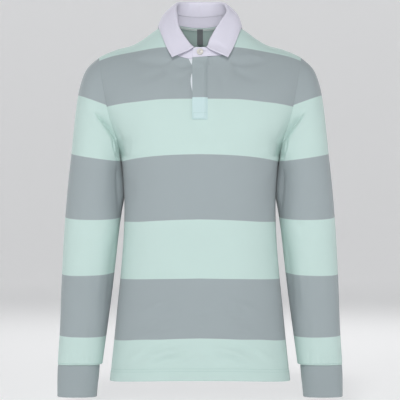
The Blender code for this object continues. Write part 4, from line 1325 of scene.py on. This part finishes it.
def placketLine(points):
    x, z = np.array(points, float).T
    steps = np.linspace(0, len(x) - 1, 120)
    x, z = (np.interp(steps, np.arange(len(x)), values) for values in (x, z))
    row, column = placeOn(topPlacketGrid, x, z)
    up = unit(onGrid(placketNormals, row, column))
    return onGrid(topPlacketGrid, row, column) + up * 0.08, up


top, end = neckHeight(12.0) - 4, placket["end"]
greyLines = [placketLine([(13.2, top), (13.2, placket["change"])])]
mintLines = [
    placketLine([(13.2, placket["change"]), (13.2, end + 1.8)]),
    placketLine([(13.2, end + 1.8), (-13.2, end + 1.8)]),
    placketLine([(-13.2, end + 1.8), (-13.2, end + 13.5)]),
    placketLine([(-13.2, end + 13.5), (13.2, end + 13.5)]),
]
placketStitches = stitchPiece("shirtPlacketStitches", mintLines, fineSewing, threads["mint"])
placketStitchesGrey = stitchPiece("shirtPlacketStitchesGrey", greyLines, fineSewing, threads["grey"])

fallNormals = gridNormals(collarFallGrid, flip=True)
inset = collar["stitchIn"]
rowsAll = np.arange(collarFallGrid.shape[0])
columnsAll = np.arange(collarFallGrid.shape[1])
edgeRow = np.array([np.interp(-inset, -(fallV[-1, c] - fallV[:, c])[rowsAll], rowsAll) for c in columnsAll])
startColumn = np.array([np.interp(inset, fallU[r] - fallU[r, 0], columnsAll) for r in rowsAll])
firstRow = 14
cornerRow = edgeRow[int(round(startColumn[-5]))]
downRows = np.linspace(firstRow, cornerRow, 60)
downColumns = np.interp(downRows, rowsAll, startColumn)
acrossColumns = np.linspace(downColumns[-1], columnsAll[-1] - downColumns[-1], 500)
acrossRows = np.interp(acrossColumns, columnsAll, edgeRow)
pathRows = np.concatenate([downRows, acrossRows[1:-1], downRows[::-1]])
pathColumns = np.concatenate([downColumns, acrossColumns[1:-1], columnsAll[-1] - downColumns[::-1]])
collarUp = unit(onGrid(fallNormals, pathRows, pathColumns))
collarPath = onGrid(collarFallGrid, pathRows, pathColumns) + collarUp * 0.05
collarStitches = stitchPiece("shirtCollarStitches", [(collarPath, collarUp)], fineSewing, threads["white"])


# The stand is stitched along its foot
def standRow(row, lift, first, final):
    columns = np.linspace(first, final, 500)
    up = unit(onGrid(standNormals, row, columns))
    return onGrid(collarStandGrid, row, columns) + up * lift, up


standEnd = collarStandGrid.shape[1] - 1
standRows = [standRow(2.0, 0.05, 1.5, standEnd - 1.5)]
standStitches = stitchPiece("shirtStandStitches", standRows, fineSewing, threads["white"])

tapeRows = [(tapeGrid[k] + tapeNormals[k] * 0.05, tapeNormals[k]) for k in (1, 5)]
tapeStitches = stitchPiece("shirtTapeStitches", tapeRows, fineSewing, threads["mint"])
labelRows = [(labelGrid[-3] + labelNormals[-3] * 0.05, labelNormals[-3])]
labelStitches = stitchPiece("shirtLabelStitches", labelRows, fineSewing, threads["grey"])
print("sewing made")


# Riding and replacing

pieces = {
    "front": (front, "jersey"), "back": (back, "jersey"),
    "sleeve_left": (sleeves["Left"], "jersey"), "sleeve_right": (sleeves["Right"], "jersey"),
    "cuff_left": (cuffs["Left"], "rib"), "cuff_right": (cuffs["Right"], "rib"),
    "placket": (topPlacket, "jersey"), "placket_under": (underPlacket, "collar_cloth"),
    "collar_stand": (stand, "collar_cloth"), "collar_fall": (fall, "collar_cloth"),
    "neck_tape": (neckTape, "tape"), "label": (label, "label"), "button": (shirtButton, "button"),
}
for node, (piece, slot) in pieces.items():
    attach(piece, "root")
    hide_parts(node)
extras = {
    "jersey": [hemStitches, cuffStitches["Left"], cuffStitches["Right"], placketStitches, placketStitchesGrey],
    "collar_cloth": [collarStitches, standStitches, buttonThread, buttonholeStitches],
    "tape": [tapeStitches], "label": [labelStitches],
}
for slot, group in extras.items():
    for piece in group:
        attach(piece, "root")

sheets = (  # piece, cut width and length, held, what it hangs from or lies on, sewn-on pieces
    (front, (0.49, 0.77), "hung", [back], [hemStitches]),
    (back, (0.49, 0.77), "hung", [front], []),
    (sleeves["Left"], (0.40, 0.62), "hung", [front, back], [cuffStitches["Left"]]),
    (sleeves["Right"], (0.40, 0.62), "hung", [front, back], [cuffStitches["Right"]]),
    (cuffs["Left"], (0.20, 0.063), "hung", [sleeves["Left"]], []),
    (cuffs["Right"], (0.20, 0.063), "hung", [sleeves["Right"]], []),
    (topPlacket, (0.031, 0.137), "laid", [front], [placketStitches, placketStitchesGrey]),
    (underPlacket, (0.034, 0.125), "laid", [front], []),
    (stand, (0.44, 0.03), "folded", [front, back], [standStitches, buttonholeStitches]),
    (fall, (0.46, 0.08), "folded", [stand], [collarStitches]),
    (neckTape, (0.14, 0.01), "laid", [back], [tapeStitches]),
    (label, (0.012, 0.037), "hung", [neckTape], [labelStitches]),
)


def clothArea(piece):
    mesh = piece.data
    size = np.zeros(len(mesh.polygons))
    mesh.polygons.foreach_get("area", size)
    return size.sum() / 2


for piece, flat, held, on, sewn in sheets:
    print(piece.name, "cloth area", round(clothArea(piece), 4), "flat", round(flat[0] * flat[1], 4))
for piece, flat, held, on, sewn in sheets:
    area = min(max(clothArea(piece), 0.3 * flat[0] * flat[1]), flat[0] * flat[1])


# Studio: a pale floor that curves up all round, far behind the shirt, and soft lamps

studio = {"floor": -0.79, "flat": 7.0, "curve": 2.5, "wall": 4.0, "colour": (226, 226, 227), "glow": 0.3}


def makeFloor():
    turn = np.linspace(0, math.pi / 2, 12)
    reach = np.concatenate([np.linspace(0.01, studio["flat"], 6), studio["flat"] + studio["curve"] * np.sin(turn)[1:]])
    height = np.concatenate([np.zeros(6), studio["curve"] * (1 - np.cos(turn))[1:]])
    reach, height = np.append(reach, reach[-1]), np.append(height, height[-1] + studio["wall"])
    around = np.arange(72) * math.pi / 36
    points = np.stack([
        reach[:, None] * np.cos(around), reach[:, None] * np.sin(around),
        np.repeat(height[:, None], 72, 1) + studio["floor"],
    ], -1)
    index = np.arange(points[..., 0].size).reshape(-1, 72)
    after = np.roll(index, -1, 1)
    quads = np.stack([index[:-1], index[1:], after[1:], after[:-1]], -1).reshape(-1, 4)
    even = np.arange(0, 72, 2)
    cap = np.stack([np.full(36, index.size), even, even + 1, (even + 2) % 72], -1)
    made = bpy.data.materials.new("studioFloor")
    made.use_nodes = True
    tree = made.node_tree
    shader = tree.nodes["Principled BSDF"]
    place = tree.nodes.new("ShaderNodeTexCoord")
    mottle = placeGroup(tree, mottleGroup, place.outputs["Object"], Cloud=1.5, Grain=40.0, Amount=0.015)
    grey = tree.nodes.new("ShaderNodeCombineColor")
    for socket in grey.inputs:
        tree.links.new(mottle.outputs["Shade"], socket)
    colour = blendColour(tree, 1.0, linear(studio["colour"]), grey.outputs[0], "MULTIPLY")
    tree.links.new(colour, shader.inputs["Base Color"])
    shader.inputs["Roughness"].default_value = 0.9
    shader.inputs["Emission Color"].default_value = (1, 1, 1, 1)
    shader.inputs["Emission Strength"].default_value = studio["glow"]
    points = np.concatenate([points.reshape(-1, 3), [[0, 0, studio["floor"]]]])
    floor = quadMesh("studioFloor", points / mm, np.concatenate([quads, cap]), made)


makeFloor()
lamps = {  # place, aim, power, size in metres, and for a spot its cone in degrees
    "keyLamp": ((-0.2, -2.8, 1.9), (0, 0, -0.35), 42, 0.4, 0),
    "leftLamp": ((-3.0, -1.8, 0.2), (0, 0, -0.35), 12, 1.4, 0),
    "rightLamp": ((3.0, -1.8, 0.2), (0, 0, -0.35), 11, 1.4, 0),
    "frontLamp": ((0.0, -3.8, -0.5), (0, 0, -0.35), 13, 0.8, 0),
    "neckSpot": ((0.0, -3.4, -0.35), (0, 0.03, 0.03), 125, 0.05, 3.0),
    "backLamp": ((0.4, 3.0, 1.8), (0, 0, -0.35), 34, 1.6, 0),
    "backSpot": ((-1.2, 2.6, 1.9), (0, 0, -0.35), 150, 0.15, 24.0),
}
for name, (place, aim, power, size, cone) in lamps.items():
    lamp = bpy.data.lights.new(name, "SPOT" if cone else "AREA")
    lamp.energy = power
    if cone:
        lamp.spot_size, lamp.spot_blend, lamp.shadow_soft_size = math.radians(cone), 1.0, size
    else:
        lamp.shape, lamp.size = "DISK", size
    holder = bpy.data.objects.new(name, lamp)
    holder.visible_camera = False
    holder.location = place
    aim = np.array(aim) - np.array(place)
    holder.rotation_euler = (math.acos(-aim[2] / np.linalg.norm(aim)), 0, math.atan2(-aim[0], aim[1]))
    bpy.context.scene.collection.objects.link(holder)
world = bpy.data.worlds.new("studio")
bpy.context.scene.world = world
world.use_nodes = True
world.node_tree.nodes["Background"].inputs[0].default_value = (0.9, 0.95, 1.0, 1)
world.node_tree.nodes["Background"].inputs[1].default_value = 0.14
bpy.context.scene.view_settings.view_transform = "Standard"

print("done")
